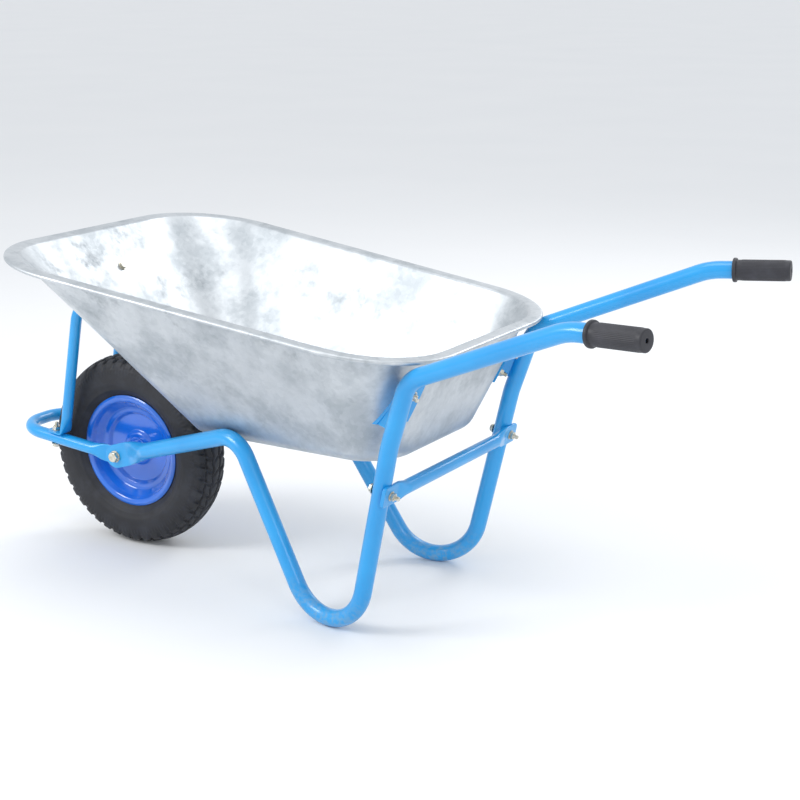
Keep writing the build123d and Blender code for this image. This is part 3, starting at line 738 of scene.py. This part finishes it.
@dataclass
class FrontStay:
    """The hoop that stands on the nose loop and holds the tray's front wall."""

    loop: NoseLoop
    wall_point: Array
    wall_out: Array
    bolt_ahead: float = 160.0
    leg_ahead: float = 136.0
    knee: tuple[float, float] = (-88.0, 472.0)
    crown_half: float = 62.0
    bends: tuple[float, float, float] = (5.0, 60.0, 34.0)
    end: SqueezedEnd = SqueezedEnd(32.0, 3.2, 16.0, 25.0, 36.0, 22.0)

    def build(self, finishes: Finishes) -> None:
        """Sweeps half of the hoop, mirrors it and makes one tube of the two."""
        above = self.loop.end.tube / 2 + self.end.thickness / 2
        side = RIGHT * self.loop.plate_y
        crown = self.wall_point + self.wall_out * self.end.tube / 2
        corners = [self.loop.at(self.bolt_ahead + self.end.tip_r, side, above)]
        corners += [self.loop.at(self.leg_ahead, side, above), np.array([self.knee[0], side, self.knee[1]])]
        corners += [crown + [0, self.crown_half, 0], crown]
        line = rounded_route(corners, self.bends)
        total = lengths(line)[-1]
        where = stations(total, 3.5, (self.end.tip_r, 0.0))
        half = at_lengths(line, where)
        turn = ramp(where, 120, 260)[:, None]
        facing = np.array([0, 1.0, 0]) * (1 - turn) + np.array([1.0, 0, 0]) * turn
        mirror = np.array([1.0, -1.0, 1.0])
        route = np.concatenate([half, half[-2::-1] * mirror])
        facings = np.concatenate([facing, facing[-2::-1] * mirror])
        where = np.concatenate([where, where[-2::-1]])
        wide, thin, power = self.end.section(where)
        rings = swept(route, facings, wide, thin, power)
        skin = Skin("stay_hoop").add(place(rings))
        skin.made(Body.FRAME, finishes["frame_enamel"], "frame_enamel", "front_stay")


@dataclass
class CrossBar:
    """The tube that ties the two rear legs, bolted on behind them with dished ends."""

    tube: SideTube
    height: float = 280.0
    seat: float = 3.0
    plate: float = 7.0
    overhang: float = 6.0
    end: SqueezedEnd = SqueezedEnd(38.0, 7.0, 6.0, 38.0, 34.0, 25.0)

    def build(self, finishes: Finishes) -> None:
        """Sweeps the bar; its inner face follows the leg it is pressed on.

        At a distance d from the leg's centre line the inner face lies at the larger of the plate's
        own inner face and sqrt(R^2 - d^2), with R the leg's radius.
        """
        lean = math.radians(self.tube.leans[1])
        leg_r = self.tube.end.tube / 2
        x = self.tube.kink[0] - math.tan(lean) * (self.tube.kink[1] - self.height)
        reach = abs(self.tube.lateral(x))
        out = np.array([math.cos(lean), 0, -math.sin(lean)])
        half = reach + leg_r + self.overhang
        where = stations(2 * half, 3.0, (self.end.tip_r,) * 2)
        from_end = np.minimum(where, 2 * half - where)
        wide, thin, power = self.end.section(from_end)
        back = leg_r - self.seat + self.plate
        plain = back - self.plate
        saddle = np.sqrt(np.clip(leg_r**2 - (np.abs(where - half) - reach) ** 2, 0, None))
        dished = np.where(from_end < leg_r * 2 + self.overhang * 2, np.maximum(saddle - plain, 0), 0)
        middle = back - self.plate / 2 + dished / 2
        across = (where - half)[:, None] * np.array([0, 1.0, 0])
        route = np.array([x, 0, self.height]) + across + middle[:, None] * out
        rings = swept(route, out, thin - dished / 2, wide, power)
        skin = Skin("leg_tie_bar").add(place(rings))
        skin.made(Body.FRAME, finishes["frame_enamel"], "frame_enamel", "cross_bar")


@dataclass
class Grip:
    """A vinyl sleeve on a handle, with fine ribs, a collar in front and a small hole in its end."""

    tube: SideTube
    length: float = 102.0
    radius: float = 18.5
    collar_r: float = 22.0
    collar: float = 7.0
    end_wall: float = 4.0
    hole_r: float = 4.0
    bore_r: float = 16.05
    edge: float = 2.2
    ribs: int = 44
    rib_height: float = 0.45

    def build(self, finishes: Finishes) -> None:
        """Turns the sleeve's closed profile and raises the ribs.

        The ribs add height * (0.5 + 0.5 cos(ribs * angle)) to the radius, faded at both ends.
        """
        label = "left" if self.tube.side < 0 else "right"
        bend, last = self.tube.at(*self.tube.handle_bend), self.tube.at(*self.tube.handle_end)
        inward = unit(bend - last)
        spindle = Spindle(place(last - inward * self.end_wall), inward, np.array([0, 0, 1.0]))
        body_end = self.length - self.collar
        profile = rounded_route(
            [(self.hole_r, self.end_wall), (self.hole_r, 0), (self.radius, 0), (self.radius, body_end)]
            + [(self.collar_r, body_end), (self.collar_r, self.length), (self.bore_r, self.length)]
            + [(self.bore_r, self.end_wall), (self.hole_r + 0.2, self.end_wall)],
            (0.8, self.edge, 1.2, self.edge, self.edge, 0.5, 0.5),
            8,
        )
        profile = at_lengths(profile, np.linspace(0, lengths(profile)[-1], 210))
        columns = self.ribs * 6
        radii = np.repeat(profile[:, :1], columns, axis=1)
        offsets = np.repeat(profile[:, 1:], columns, axis=1)
        skin_side = np.exp(-(((profile[:, :1] - self.radius) / 0.3) ** 2))
        fade = ramp(profile[:, 1:], 7, 12) * (1 - ramp(profile[:, 1:], body_end - 11, body_end - 6))
        wave = 0.5 + 0.5 * np.cos(self.ribs * np.linspace(0, TURN, columns, endpoint=False))
        radii = radii + self.rib_height * (skin_side * fade) * wave
        skin = Skin(f"handle_sleeve_{label}").add(spindle.turned(radii, offsets), Close.RING)
        skin.made(Body.FRAME, finishes["grip_pvc"], "grip_pvc", f"grip_{label}")


# ------------------------------------------------------------------ tray
@dataclass(frozen=True)
class Outline:
    """A trapezoid with rounded corners on a sloping plane.

    Fields:
        front: Its front edge, behind the axle and above the ground.
        rear: Its rear edge.
        half_front: Half width in front.
        half_rear: Half width behind.
        corner_front: Radius of the front corners.
        corner_rear: Radius of the rear corners.
    """

    front: tuple[float, float]
    rear: tuple[float, float]
    half_front: float
    half_rear: float
    corner_front: float
    corner_rear: float

    def along(self) -> Array:
        """Unit direction from front to rear along the slope."""
        return unit([self.rear[0] - self.front[0], 0.0, self.rear[1] - self.front[1]])

    def up(self) -> Array:
        """Unit direction square to the plane."""
        along = self.along()
        return np.array([-along[2], 0.0, along[0]])

    def edge(self, grow: float, straight: Sequence[int], arc: int) -> tuple[Array, Array]:
        """Points round the outline, with the outward direction at each.

        The four sides and the four corner arcs each have a fixed number of points, so two
        outlines match point for point. On an arc the outward direction turns evenly.

        Args:
            grow: How far the outline is moved outwards.
            straight: Points on a side edge, on the rear edge and on the front edge.
            arc: Points on a corner.

        Returns:
            The points and the outward unit directions, both in three dimensions.
        """
        length = math.dist(self.front, self.rear)
        low, high = -grow, length + grow
        corners = np.array([(low, -self.half_front - grow), (high, -self.half_rear - grow)])
        corners = np.concatenate([corners, corners[::-1] * [1, -1]])
        radii = [self.corner_front, self.corner_rear, self.corner_rear, self.corner_front]
        counts = [straight[0], straight[1], straight[0], straight[2]]
        tips, normals, starts, ends = [], [], [], []
        t = np.linspace(0, 1, arc)[:, None]
        for k in range(4):
            corner, radius = corners[k], radii[k] + grow
            a, b = unit(corners[k - 1] - corner), unit(corners[(k + 1) % 4] - corner)
            half = math.acos(float(a @ b)) / 2
            centre = corner + unit(a + b) * radius / math.sin(half)
            u = (corner + a * radius / math.tan(half) - centre) / radius
            v = (corner + b * radius / math.tan(half) - centre) / radius
            turn = math.acos(float(np.clip(u @ v, -1, 1)))
            spokes = (np.sin((1 - t) * turn) * u + np.sin(t * turn) * v) / math.sin(turn)
            tips.append(centre + radius * spokes)
            normals.append(spokes)
            starts.append(tips[-1][0])
            ends.append(tips[-1][-1])
        flat, outward = [], []
        for k in range(4):
            t_side = np.linspace(0, 1, counts[k] + 2)[1:-1, None]
            follow = (k + 1) % 4
            flat += [tips[k], ends[k] * (1 - t_side) + starts[follow] * t_side]
            outward += [normals[k], np.repeat(normals[k][-1:], counts[k], axis=0)]
        origin = np.array([self.front[0], 0.0, self.front[1]])
        axes = np.stack([self.along(), np.array([0, 1.0, 0])])
        return origin + np.concatenate(flat) @ axes, np.concatenate(outward) @ axes


@dataclass
class Tray:
    """The pressed tray: flat sloping floor, four flared walls, and a lip with a rolled edge."""

    floor: Outline = Outline((205.0, 276.0), (700.0, 309.0), 86.0, 192.0, 55.0, 85.0)
    rim: Outline = Outline((-83.0, 634.0), (786.0, 521.5), 327.0, 286.0, 150.0, 150.0)
    wall: float = 1.0
    floor_edge_r: float = 38.0
    neck_r: float = 9.0
    lip: float = 27.0
    bead_r: float = 4.0
    buckle: float = 0.7
    side_points: tuple[int, int, int] = (70, 44, 34)
    arc_points: int = 26

    def front_wall(self, height: float) -> tuple[Array, Array]:
        """Point on the outside of the front wall in the middle, and the wall's outward direction."""
        run = np.array([self.rim.front[0] - self.floor.front[0], 0, self.rim.front[1] - self.floor.front[1]])
        share = (height - self.floor.front[1]) / run[2]
        point = np.array([self.floor.front[0], 0, self.floor.front[1]]) + share * run
        return point, unit([-run[2], 0, run[0]])

    def inner_face(self) -> Array:
        """Rows from the middle of the floor up the wall, over the lip and round the rolled edge.

        Row by row, with F and R matching points of the floor's and the mouth's outlines, I the
        inward direction on the floor and W the wall's direction: the floor runs from its middle
        line to F + d I; the drawn edge is an arc of radius r, d = r / tan(angle / 2), from there to
        F + d W; the wall runs straight, and buckles a little; the neck is an arc from the wall to
        the lip's outward direction; and the rolled edge turns on a circle below the lip.
        """
        foot, foot_out = self.floor.edge(-self.wall, self.side_points, self.arc_points)
        foot = foot + self.floor.up() * self.wall
        mouth, mouth_out = self.rim.edge(-self.wall, self.side_points, self.arc_points)
        rise = unit(mouth - foot)
        rows = []

        def fillet(corner: Array, a: Array, b: Array, radius: float, count: int) -> list[Array]:
            """Rows on the arc of a radius that touches two directions from a corner."""
            half = np.arccos(np.clip((a * b).sum(1, keepdims=True), -1, 1)) / 2
            centre = corner + unit(a + b) * radius / np.sin(half)
            u, v = corner + a * radius / np.tan(half) - centre, corner + b * radius / np.tan(half) - centre
            turn = np.pi - 2 * half
            return [
                centre + (np.sin((1 - t) * turn) * u + np.sin(t * turn) * v) / np.sin(turn)
                for t in np.linspace(0, 1, count)
            ]

        drawn = fillet(foot, -foot_out, rise, self.floor_edge_r - self.wall, 14)
        origin = np.array([self.floor.front[0], 0, self.floor.front[1]]) + self.floor.up() * self.wall
        reach = math.dist(self.floor.front, self.floor.rear)
        along = (drawn[0] - origin) @ self.floor.along()
        middle = origin + np.clip(along, 85, reach - 150)[:, None] * self.floor.along()
        rows += [middle + (drawn[0] - middle) * share for share in np.linspace(0.04, 1, 13)[:-1]]
        rows += drawn
        neck = fillet(mouth, -rise, mouth_out, self.neck_r, 9)
        shares = np.linspace(0, 1, 30)[1:-1]
        around = np.linspace(0, TURN, len(foot), endpoint=False)
        wall_out = unit(np.cross(np.roll(mouth, -1, axis=0) - np.roll(mouth, 1, axis=0), rise))
        wall_out *= np.sign((wall_out * mouth_out).sum(1, keepdims=True))
        for share in shares:
            waves = np.sin(5 * around + 2.1 + 3 * share) * np.sin(math.pi * share)
            waves += 0.5 * np.sin(11 * around + 7 * share + 1.3) * np.sin(2 * math.pi * share)
            rows.append(drawn[-1] + (neck[0] - drawn[-1]) * share + self.buckle * waves[:, None] * wall_out)
        rows += neck
        up = self.rim.up()
        roll_at = mouth + mouth_out * (self.lip + self.wall - self.bead_r) - up * self.bead_r
        rows.append((neck[-1] + roll_at + up * self.bead_r) / 2)
        for turn in np.radians(np.linspace(90, -215, 18)):
            shrink = self.bead_r - 0.4 * (math.pi / 2 - turn) / TURN
            rows.append(roll_at + shrink * (math.cos(turn) * mouth_out + math.sin(turn) * up))
        return np.stack(rows)

    def build(self, finishes: Finishes) -> None:
        """Makes the inner face and gives it the sheet's thickness outwards."""
        grid = place(self.inner_face())
        skin = Skin("tray_pan").add(grid[::-1], Close.OPEN, outward=False)
        cap = list(range(skin.count - grid.shape[1], skin.count))
        skin.faces.append(cap)
        pan = skin.made(Body.FRAME, finishes["galvanised_sheet"], "galvanised_sheet", "tray", sharp=60)
        normals = np.zeros(len(pan.data.polygons) * 3)
        pan.data.polygons.foreach_get("normal", normals)
        if normals.reshape(-1, 3)[-1, 2] < 0:
            pan.data.flip_normals()
        sheet = pan.modifiers.new("sheet", "SOLIDIFY")
        sheet.thickness, sheet.offset, sheet.use_even_offset = self.wall * MM, -1.0, True


# ------------------------------------------------------------------ wheel
@dataclass
class Tyre:
    """The pneumatic tyre, with a zigzag middle rib, blocks beside it and shoulder lugs."""

    radius: float = 195.0
    clear_r: float = 116.0
    foot_r: float = 101.5
    foot_half: float = 29.6
    widest: tuple[float, float] = (150.0, 47.0)
    shoulder: tuple[float, float] = (184.0, 39.0)
    blocks: int = 44
    per_block: int = 14
    groove: float = 4.2

    def profile(self) -> Array:
        """Closed profile of (radius, across): foot, sidewall, crown, sidewall."""
        side = three_point_arc((self.clear_r, -self.foot_half), (self.widest[0], -self.widest[1]),
                               (self.shoulder[0], -self.shoulder[1]), 34)
        crown = three_point_arc((self.shoulder[0], -self.shoulder[1]), (self.radius, 0.0), self.shoulder, 58)
        bead_half = self.foot_half - 1.2
        foot = np.array([[self.foot_r, bead_half], [self.foot_r, 0], [self.foot_r, -bead_half]])
        heel = np.array([[self.foot_r + 1.2, -self.foot_half], [self.clear_r - 5, -self.foot_half]])
        mirror = np.array([1.0, -1.0])
        return np.concatenate([foot, heel, side, crown[1:-1], side[::-1] * mirror, heel[::-1] * mirror])

    def tread(self, angle: Array, u: Array, radii: Array) -> Array:
        """Height of the tread over the smooth skin, in millimetres, never above it.

        u is the distance round the profile from the crown's middle. A block edge is a smooth step
        about 1 mm wide. The middle rib's edge weaves as a triangle wave; the blocks beside it are
        cut once for each pitch along a slant; the lugs on the shoulder are cut half a pitch later
        and run down the side, where fine ribs follow them.
        """
        turn = angle / TURN * self.blocks
        weave = 2 * np.abs((turn % 1.0) - 0.5)
        off = np.abs(u)

        def strip(low: Array, high: Array) -> Array:
            """1 between two distances from the middle, with soft edges."""
            return ramp(off, low - 0.6, low + 0.6) * (1 - ramp(off, high - 0.6, high + 0.6))

        def cut(phase: Array, share: float) -> Array:
            """0 in a slot that takes this share of the pitch, 1 on the block."""
            beside = np.abs(((turn + phase) % 1.0) - 0.5)
            return 1 - ramp(beside, 0.5 - share / 2 - 0.05, 0.5 - share / 2 + 0.02)

        rib = strip(np.full_like(off, -5), 6 + 4.0 * weave)
        sipe = cut(0.25 + 0.03 * u, 0.16) * 0.5 + 0.5
        middle = strip(10.5 + 4.0 * weave, 24.5 + 2.0 * weave) * cut(0.02 * off, 0.24)
        lug = strip(28.5 + 2.0 * weave, np.full_like(off, 53.0)) * cut(0.5 + 0.012 * off, 0.27)
        raised = np.clip(rib * sipe + middle + lug, 0, 1)
        zone = 1 - ramp(off, 50, 58)
        ribs = (0.5 + 0.5 * np.cos(TURN * turn * 3)) * ramp(off, 53, 55) * (1 - ramp(off, 61, 66))
        body = (raised - 1) * self.groove * zone * (0.45 + 0.55 * (1 - ramp(off, 34, 48)))
        guard = 1.1 * np.exp(-(((radii - 129.0) / 2.2) ** 2)) + 0.5 * np.exp(-(((radii - 141.0) / 0.9) ** 2))
        return body + 0.7 * ribs - 1.0 * ramp(off, 55, 59) * (1 - ramp(off, 70, 84)) + guard

    def build(self, finishes: Finishes) -> None:
        """Turns the profile, with the tread pushed in along the profile's own normal."""
        section = self.profile()
        closed = np.concatenate([section, section[:1]])
        along = lengths(closed)[:-1]
        crown = int(np.argmax(section[:, 0]))
        u = along - along[crown]
        slope = unit(np.roll(section, -1, axis=0) - np.roll(section, 1, axis=0))
        outward = np.stack([slope[:, 1], -slope[:, 0]], axis=1)
        outward *= np.sign((outward * (section - [150.0, 0])).sum(1, keepdims=True))
        columns = self.blocks * self.per_block
        angle = np.linspace(0, TURN, columns, endpoint=False)[None, :]
        rows_r = np.repeat(section[:, :1], columns, axis=1)
        skin_only = ramp(section[:, :1], self.clear_r - 1, self.clear_r + 6)
        height = self.tread(angle + 0 * rows_r, u[:, None] + 0 * rows_r, rows_r) * skin_only
        radii = rows_r + height * outward[:, :1]
        across = section[:, 1:] + height * outward[:, 1:]
        skin = Skin("tyre_carcass").add(AXLE_SPINDLE.turned(radii, across), Close.RING)
        skin.made(Body.WHEEL, finishes["tyre_rubber"], "tyre_rubber", "tyre", sharp=50)


@dataclass
class RimHalf:
    """One pressed half of the rim, with its rolled flange, bowl, ring and raised boss."""

    side: int
    sheet: float = 2.0
    route: tuple[tuple[float, float], ...] = (
        (114.1, 30.7), (109.5, 32.9), (103.0, 31.0), (97.6, 22.0), (86.0, 9.2), (76.0, 7.6),
        (70.0, 1.02), (36.0, 1.02), (30.0, 7.0), (20.05, 7.0),
    )
    radii: tuple[float, ...] = (3.5, 5.0, 6.0, 10.0, 2.5, 2.5, 4.0, 4.0)
    weld_r: float = 3.2

    def build(self, finishes: Finishes) -> None:
        """Turns the sheet's closed section, and the weld that holds the hub to the boss.

        The section is the rounded route with half the sheet added along its normal on both sides.
        The weld's ripples push its surface by a cosine of the angle.
        """
        label = "left" if self.side < 0 else "right"
        line = rounded_route(self.route, self.radii, 10)
        line = at_lengths(line, np.linspace(0, lengths(line)[-1], 96))
        tangent = unit(np.gradient(line, axis=0))
        normal = np.stack([tangent[:, 1], -tangent[:, 0]], axis=1) * self.sheet / 2
        round_edge = line[0] - tangent[0] * self.sheet / 2
        section = np.concatenate([[round_edge], line + normal, (line - normal)[::-1]]) * [1, self.side]
        skin = Skin(f"rim_pressing_{label}").add(AXLE_SPINDLE.lathe(section, 144), Close.RING)
        columns = 180
        a = np.linspace(0, TURN, columns, endpoint=False)[None, :]
        b = np.linspace(0, TURN, 12, endpoint=False)[:, None]
        ripple = 1 + 0.10 * np.cos(34 * a + 0.8 * np.cos(b))
        radii = 19.6 + self.weld_r * np.cos(b) * ripple
        offsets = self.side * (8.3 + self.weld_r * np.sin(b) * ripple)
        skin.add(AXLE_SPINDLE.turned(radii, offsets), Close.RING)
        skin.made(Body.WHEEL, finishes["rim_enamel"], "rim_enamel", f"rim_{label}")


@dataclass
class Hub:
    """The tube that carries the bearings, with broken edges, and the spacers beside it."""

    half: float = 50.0
    radius: float = 19.0
    seat_r: float = 16.0
    seat_depth: float = 10.0
    bore_r: float = 13.0
    spacer_r: float = 8.5
    spacer_bore_r: float = 6.05
    spacer: float = 20.4

    def build(self, finishes: Finishes) -> None:
        """Turns the hub and both spacers from closed profiles with small bevels."""
        edge, inner = 0.7, self.half - self.seat_depth
        half = [(self.bore_r, 0), (self.bore_r, inner), (self.seat_r, inner), (self.seat_r, self.half - edge)]
        half += [(self.seat_r + edge, self.half), (self.radius - edge, self.half)]
        half += [(self.radius, self.half - edge)]
        profile = np.array(half + [(r, -y) for r, y in half[::-1][:-1]])
        Skin("wheel_hub").add(AXLE_SPINDLE.lathe(profile, 96), Close.RING).made(
            Body.WHEEL, finishes["rim_enamel"], "rim_enamel", "hub_tube")
        for side, label in ((LEFT, "left"), (RIGHT, "right")):
            low, high = self.half, self.half + self.spacer
            ring = [(self.spacer_bore_r, low), (self.spacer_r - 0.4, low), (self.spacer_r, low + 0.4)]
            ring += [(self.spacer_r, high - 0.4), (self.spacer_r - 0.4, high), (self.spacer_bore_r, high)]
            turned = AXLE_SPINDLE.lathe(np.array(ring) * [1, side], 64)
            Skin(f"spacer_sleeve_{label}").add(turned, Close.RING).made(
                Body.FRAME, finishes["zinc_steel"], "zinc_steel", f"axle_spacer_{label}")


# ------------------------------------------------------------------ fasteners
@dataclass(frozen=True)
class Thread:
    """One size of hexagon bolt, nut and washer, with its coarse thread."""

    diameter: float
    pitch: float
    flats: float
    head: float
    nut: float
    washer: float
    washer_h: float
    tail: float


M12 = Thread(12.0, 1.75, 19.0, 7.5, 10.0, 24.0, 2.5, 6.0)
M8 = Thread(8.0, 1.25, 13.0, 5.3, 6.5, 18.0, 1.6, 9.0)


@dataclass
class BoltedJoint:
    """Bolts, nuts and washers of one joint, each placed where its CAD bolt is."""

    name: str
    size: Thread
    bolts: str
    nuts: str
    washers: str
    columns: int = 48

    def places(self) -> list[tuple[Spindle, float]]:
        """Finds each bolt of the CAD node: its axis from the head's top, and its length.

        The bolts of a node are told apart by nearness to seeds at its far ends. A bolt's axis is
        the direction in which its corners spread most, and its head is at the end where a corner
        lies furthest from the axis.
        """
        node = frame["nodes"][self.bolts]
        flat = np.zeros(len(node.data.vertices) * 3)
        node.data.vertices.foreach_get("co", flat)
        cloud = np.unique(np.round(flat.reshape(-1, 3), 5), axis=0)
        groups = [cloud]
        if self.bolts.endswith("bolts"):
            groups = [cloud[cloud[:, 1] < 0], cloud[cloud[:, 1] > 0]]
        if self.bolts.startswith("bracket"):
            groups = [part for group in groups for part in self.two(group)]
        found = []
        for group in groups:
            centre = (group.max(0) + group.min(0)) / 2
            axis = np.linalg.svd(group - group.mean(0), full_matrices=False)[2][0]
            along = (group - centre) @ axis
            off = group - centre - along[:, None] * axis
            off = off - (off.max(0) + off.min(0)) / 2
            far = int(np.argmax(np.linalg.norm(off, axis=1)))
            if along[far] > 0:
                axis, along = -axis, -along
            ends = group[np.abs(along - along.max()) < 1e-4]
            tail = (ends.max(0) + ends.min(0)) / 2
            span = float(along.max() - along.min())
            found.append((Spindle(tail - axis * span, axis, group[far] - tail), span / MM))
        return found

    @staticmethod
    def two(points: Array) -> list[Array]:
        """Splits a cloud into its upper and lower bolt, by nearness to two moving centres."""
        seeds = np.stack([points[points[:, 2].argmin()], points[points[:, 2].argmax()]])
        for _ in range(6):
            near = np.linalg.norm(points[:, None] - seeds[None], axis=2).argmin(1)
            seeds = np.stack([points[near == k].mean(0) for k in (0, 1)])
        return [points[near == k] for k in (0, 1)]

    def hexagon(self, depth: Array) -> Array:
        """Radius of a chamfered hexagon at each angle, at depths under its flat face.

        A hexagon's radius is (flats / 2) / cos(a mod 60 - 30), and the chamfer keeps it within
        0.475 flats + depth * tan 60.
        """
        a = np.linspace(0, TURN, self.columns, endpoint=False)[None, :]
        hexagon = self.size.flats / 2 / np.cos((a % (TURN / 6)) - TURN / 12)
        return np.minimum(hexagon, self.size.flats * 0.475 + np.asarray(depth)[:, None] * math.sqrt(3))

    def bolt(self, spindle: Spindle, length: float) -> Array:
        """Grid of a bolt: head, shank, and a helical thread at its end with a bevelled tip."""
        size = self.size
        tops = np.array([0, 0.3, 0.6, 0.9, 1.2, 1.6])
        head_a = np.concatenate([tops, [size.head - 0.2, size.head]])
        head_r = self.hexagon(np.concatenate([tops, [9, 9]]))
        start = length - size.tail - size.nut - 2 * size.pitch
        thread_a = np.arange(start, length - 0.9, size.pitch / 6)
        a = np.linspace(0, TURN, self.columns, endpoint=False)[None, :]
        wave = 0.5 - 0.5 * np.cos(TURN * (thread_a[:, None] / size.pitch - a / TURN))
        thread_r = size.diameter / 2 - 0.03 - 0.5 * size.pitch * 0.9 * wave
        shank_a = np.array([size.head, start])
        shank_r = np.full((2, self.columns), size.diameter / 2)
        tip_a = np.array([length - 0.8, length])
        tip_r = np.array([[size.diameter / 2 - 0.8], [size.diameter / 2 - 1.6]]) + 0 * a
        offsets = np.concatenate([head_a, shank_a, thread_a, tip_a])[:, None] + 0 * a
        return spindle.turned(np.concatenate([head_r, shank_r, thread_r, tip_r]), offsets)

    def nut(self, spindle: Spindle, start: float) -> Array:
        """Closed grid of a nut, chamfered on both faces, standing on its washer."""
        depths = np.array([0, 0.5, 1.0, 1.5])
        bore = np.full((1, self.columns), self.size.diameter / 2 + 0.02)
        upper, lower = self.hexagon(depths), self.hexagon(depths[::-1])
        radii = np.concatenate([bore, bore + 0.9, upper, lower, bore + 0.9, bore])
        top = self.size.nut
        offsets = np.concatenate([[0.9, 0], depths, top - depths[::-1], [top, top - 0.9]])
        return spindle.turned(radii, np.repeat(offsets[:, None] + start, self.columns, axis=1))

    def washer(self, spindle: Spindle, start: float) -> Array:
        """Closed grid of a flat washer with a rolled outer edge."""
        inner, outer, h = self.size.diameter / 2 + 0.15, self.size.washer / 2, self.size.washer_h
        ring = [(inner, 0), (outer - 0.25, 0), (outer, 0.3), (outer, h - 0.45), (outer - 0.45, h), (inner, h)]
        return spindle.lathe(np.array(ring) + [0, start], 56)

    def build(self, finishes: Finishes) -> None:
        """Makes the joint's bolts, nuts and washers."""
        bolts, nuts, washers = (Skin(f"{self.name}_{kind}") for kind in ("screws", "hexnuts", "discs"))
        for spindle, length in self.places():
            seat = length - self.size.tail - self.size.nut
            bolts.add(self.bolt(spindle, length))
            nuts.add(self.nut(spindle, seat), Close.RING)
            washers.add(self.washer(spindle, self.size.head), Close.RING)
            washers.add(self.washer(spindle, seat - self.size.washer_h), Close.RING)
        for skin, node in ((bolts, self.bolts), (nuts, self.nuts), (washers, self.washers)):
            skin.made(Body.FRAME, finishes["zinc_steel"], "zinc_steel", node, sharp=30)


@dataclass
class Fasteners:
    """All the bolted joints."""

    joints: tuple[tuple[str, Thread, str], ...] = (
        ("axle", M12, ""), ("stay_top", M8, ""), ("stay_foot", M8, "s"), ("bar", M8, "s"),
        ("bracket", M8, "s"),
    )

    def build(self, finishes: Finishes) -> None:
        """Builds each joint in turn."""
        for name, size, plural in self.joints:
            joint = BoltedJoint(name, size, f"{name}_bolt{plural}", f"{name}_nut{plural}", f"{name}_washers")
            joint.build(finishes)


# ------------------------------------------------------------------ studio
@dataclass
class Studio:
    """A wide pale floor, soft lights, and the camera."""

    floor_half: float = 60.0
    azimuth: float = 31.04
    elevation: float = 14.97
    target: tuple[float, float, float] = (616.7, 0.0, 378.9)
    distance: float = 3.121
    lens: float = 76.914

    def floor(self) -> None:
        """A pale floor under everything, wide enough for every view."""
        coat = Coat("studio_floor", Roughness=0.75, Specular_IOR_Level=0.2)
        tones = {0: coat.uneven(900, 3, 0.5), 6: (0.86, 0.865, 0.87, 1), 7: (0.90, 0.90, 0.90, 1)}
        side = np.linspace(-self.floor_half, self.floor_half, 3)
        x, y = np.meshgrid(side, side, indexing="ij")
        grid = np.stack([x, y, np.zeros_like(x)], axis=-1)
        faces = [[k, k + 3, k + 4, k + 1] for k in (0, 1, 3, 4)]
        mesh = bpy.data.meshes.new("studio_floor")
        mesh.from_pydata(grid.reshape(-1, 3).tolist(), [], faces)
        mesh.materials.append(coat.wire(Base_Color=coat.add("Mix", tones, **COLOUR)))
        floor = bpy.data.objects.new("studio_floor", mesh)
        bpy.context.scene.collection.objects.link(floor)

    def light(
        self, name: str, power: float, size: float, place_m: Sequence[float], aim: Sequence[float]
    ) -> None:
        """A square softbox that looks at a point."""
        lamp = bpy.data.lights.new(name, "AREA")
        lamp.energy, lamp.size = power, size
        made = bpy.data.objects.new(name, lamp)
        made.location = place_m
        made.rotation_mode = "QUATERNION"
        made.rotation_quaternion = (Vector(aim) - Vector(place_m)).to_track_quat("-Z", "Y")
        bpy.context.scene.collection.objects.link(made)

    def build(self) -> None:
        """Sets up floor, sky, lights and camera."""
        self.floor()
        world = bpy.data.worlds.new("studio_sky")
        world.use_nodes = True
        world.node_tree.nodes["Background"].inputs["Color"].default_value = (0.93, 0.96, 1.0, 1)
        world.node_tree.nodes["Background"].inputs["Strength"].default_value = 0.9
        bpy.context.scene.world = world
        middle = (0.0, 0.0, 0.35)
        self.light("key_box", 55, 1.3, (-1.9, -2.4, 2.4), middle)
        self.light("fill_box", 14, 1.2, (3.0, -1.8, 1.8), middle)
        self.light("back_box", 30, 1.4, (0.6, 3.0, 2.6), middle)
        self.light("top_box", 20, 1.6, (0.0, 0.0, 3.4), middle)
        camera = bpy.data.cameras.new("studio_camera")
        camera.sensor_width, camera.lens = 36.0, self.lens
        camera.clip_start, camera.clip_end = 0.05, 60
        made = bpy.data.objects.new("studio_camera", camera)
        a, e = math.radians(self.azimuth), math.radians(self.elevation)
        back = Vector((math.sin(a) * math.cos(e), -math.cos(a) * math.cos(e), math.sin(e)))
        made.location = Vector(place(np.array(self.target))) + back * self.distance
        made.rotation_mode = "QUATERNION"
        made.rotation_quaternion = (-back).to_track_quat("-Z", "Y")
        bpy.context.scene.collection.objects.link(made)
        bpy.context.scene.camera = made
        bpy.context.scene.view_settings.view_transform = "Standard"


def main() -> None:
    """Builds every piece in order."""
    logging.basicConfig(level=logging.INFO, format="%(name)s: %(message)s")
    finishes = Finishes().build()
    tray = Tray()
    tray.build(finishes)
    tubes = [SideTube(LEFT), SideTube(RIGHT)]
    for tube in tubes:
        tube.build(finishes)
        Grip(tube).build(finishes)
    loop = NoseLoop()
    loop.build(finishes)
    wall_point, wall_out = tray.front_wall(STAY_BOLT_HEIGHT)
    FrontStay(loop, wall_point, wall_out).build(finishes)
    CrossBar(tubes[0]).build(finishes)
    Tyre().build(finishes)
    for side in (LEFT, RIGHT):
        RimHalf(side).build(finishes)
    Hub().build(finishes)
    Fasteners().build(finishes)
    Studio().build()


if __name__ == "__main__":
    main()
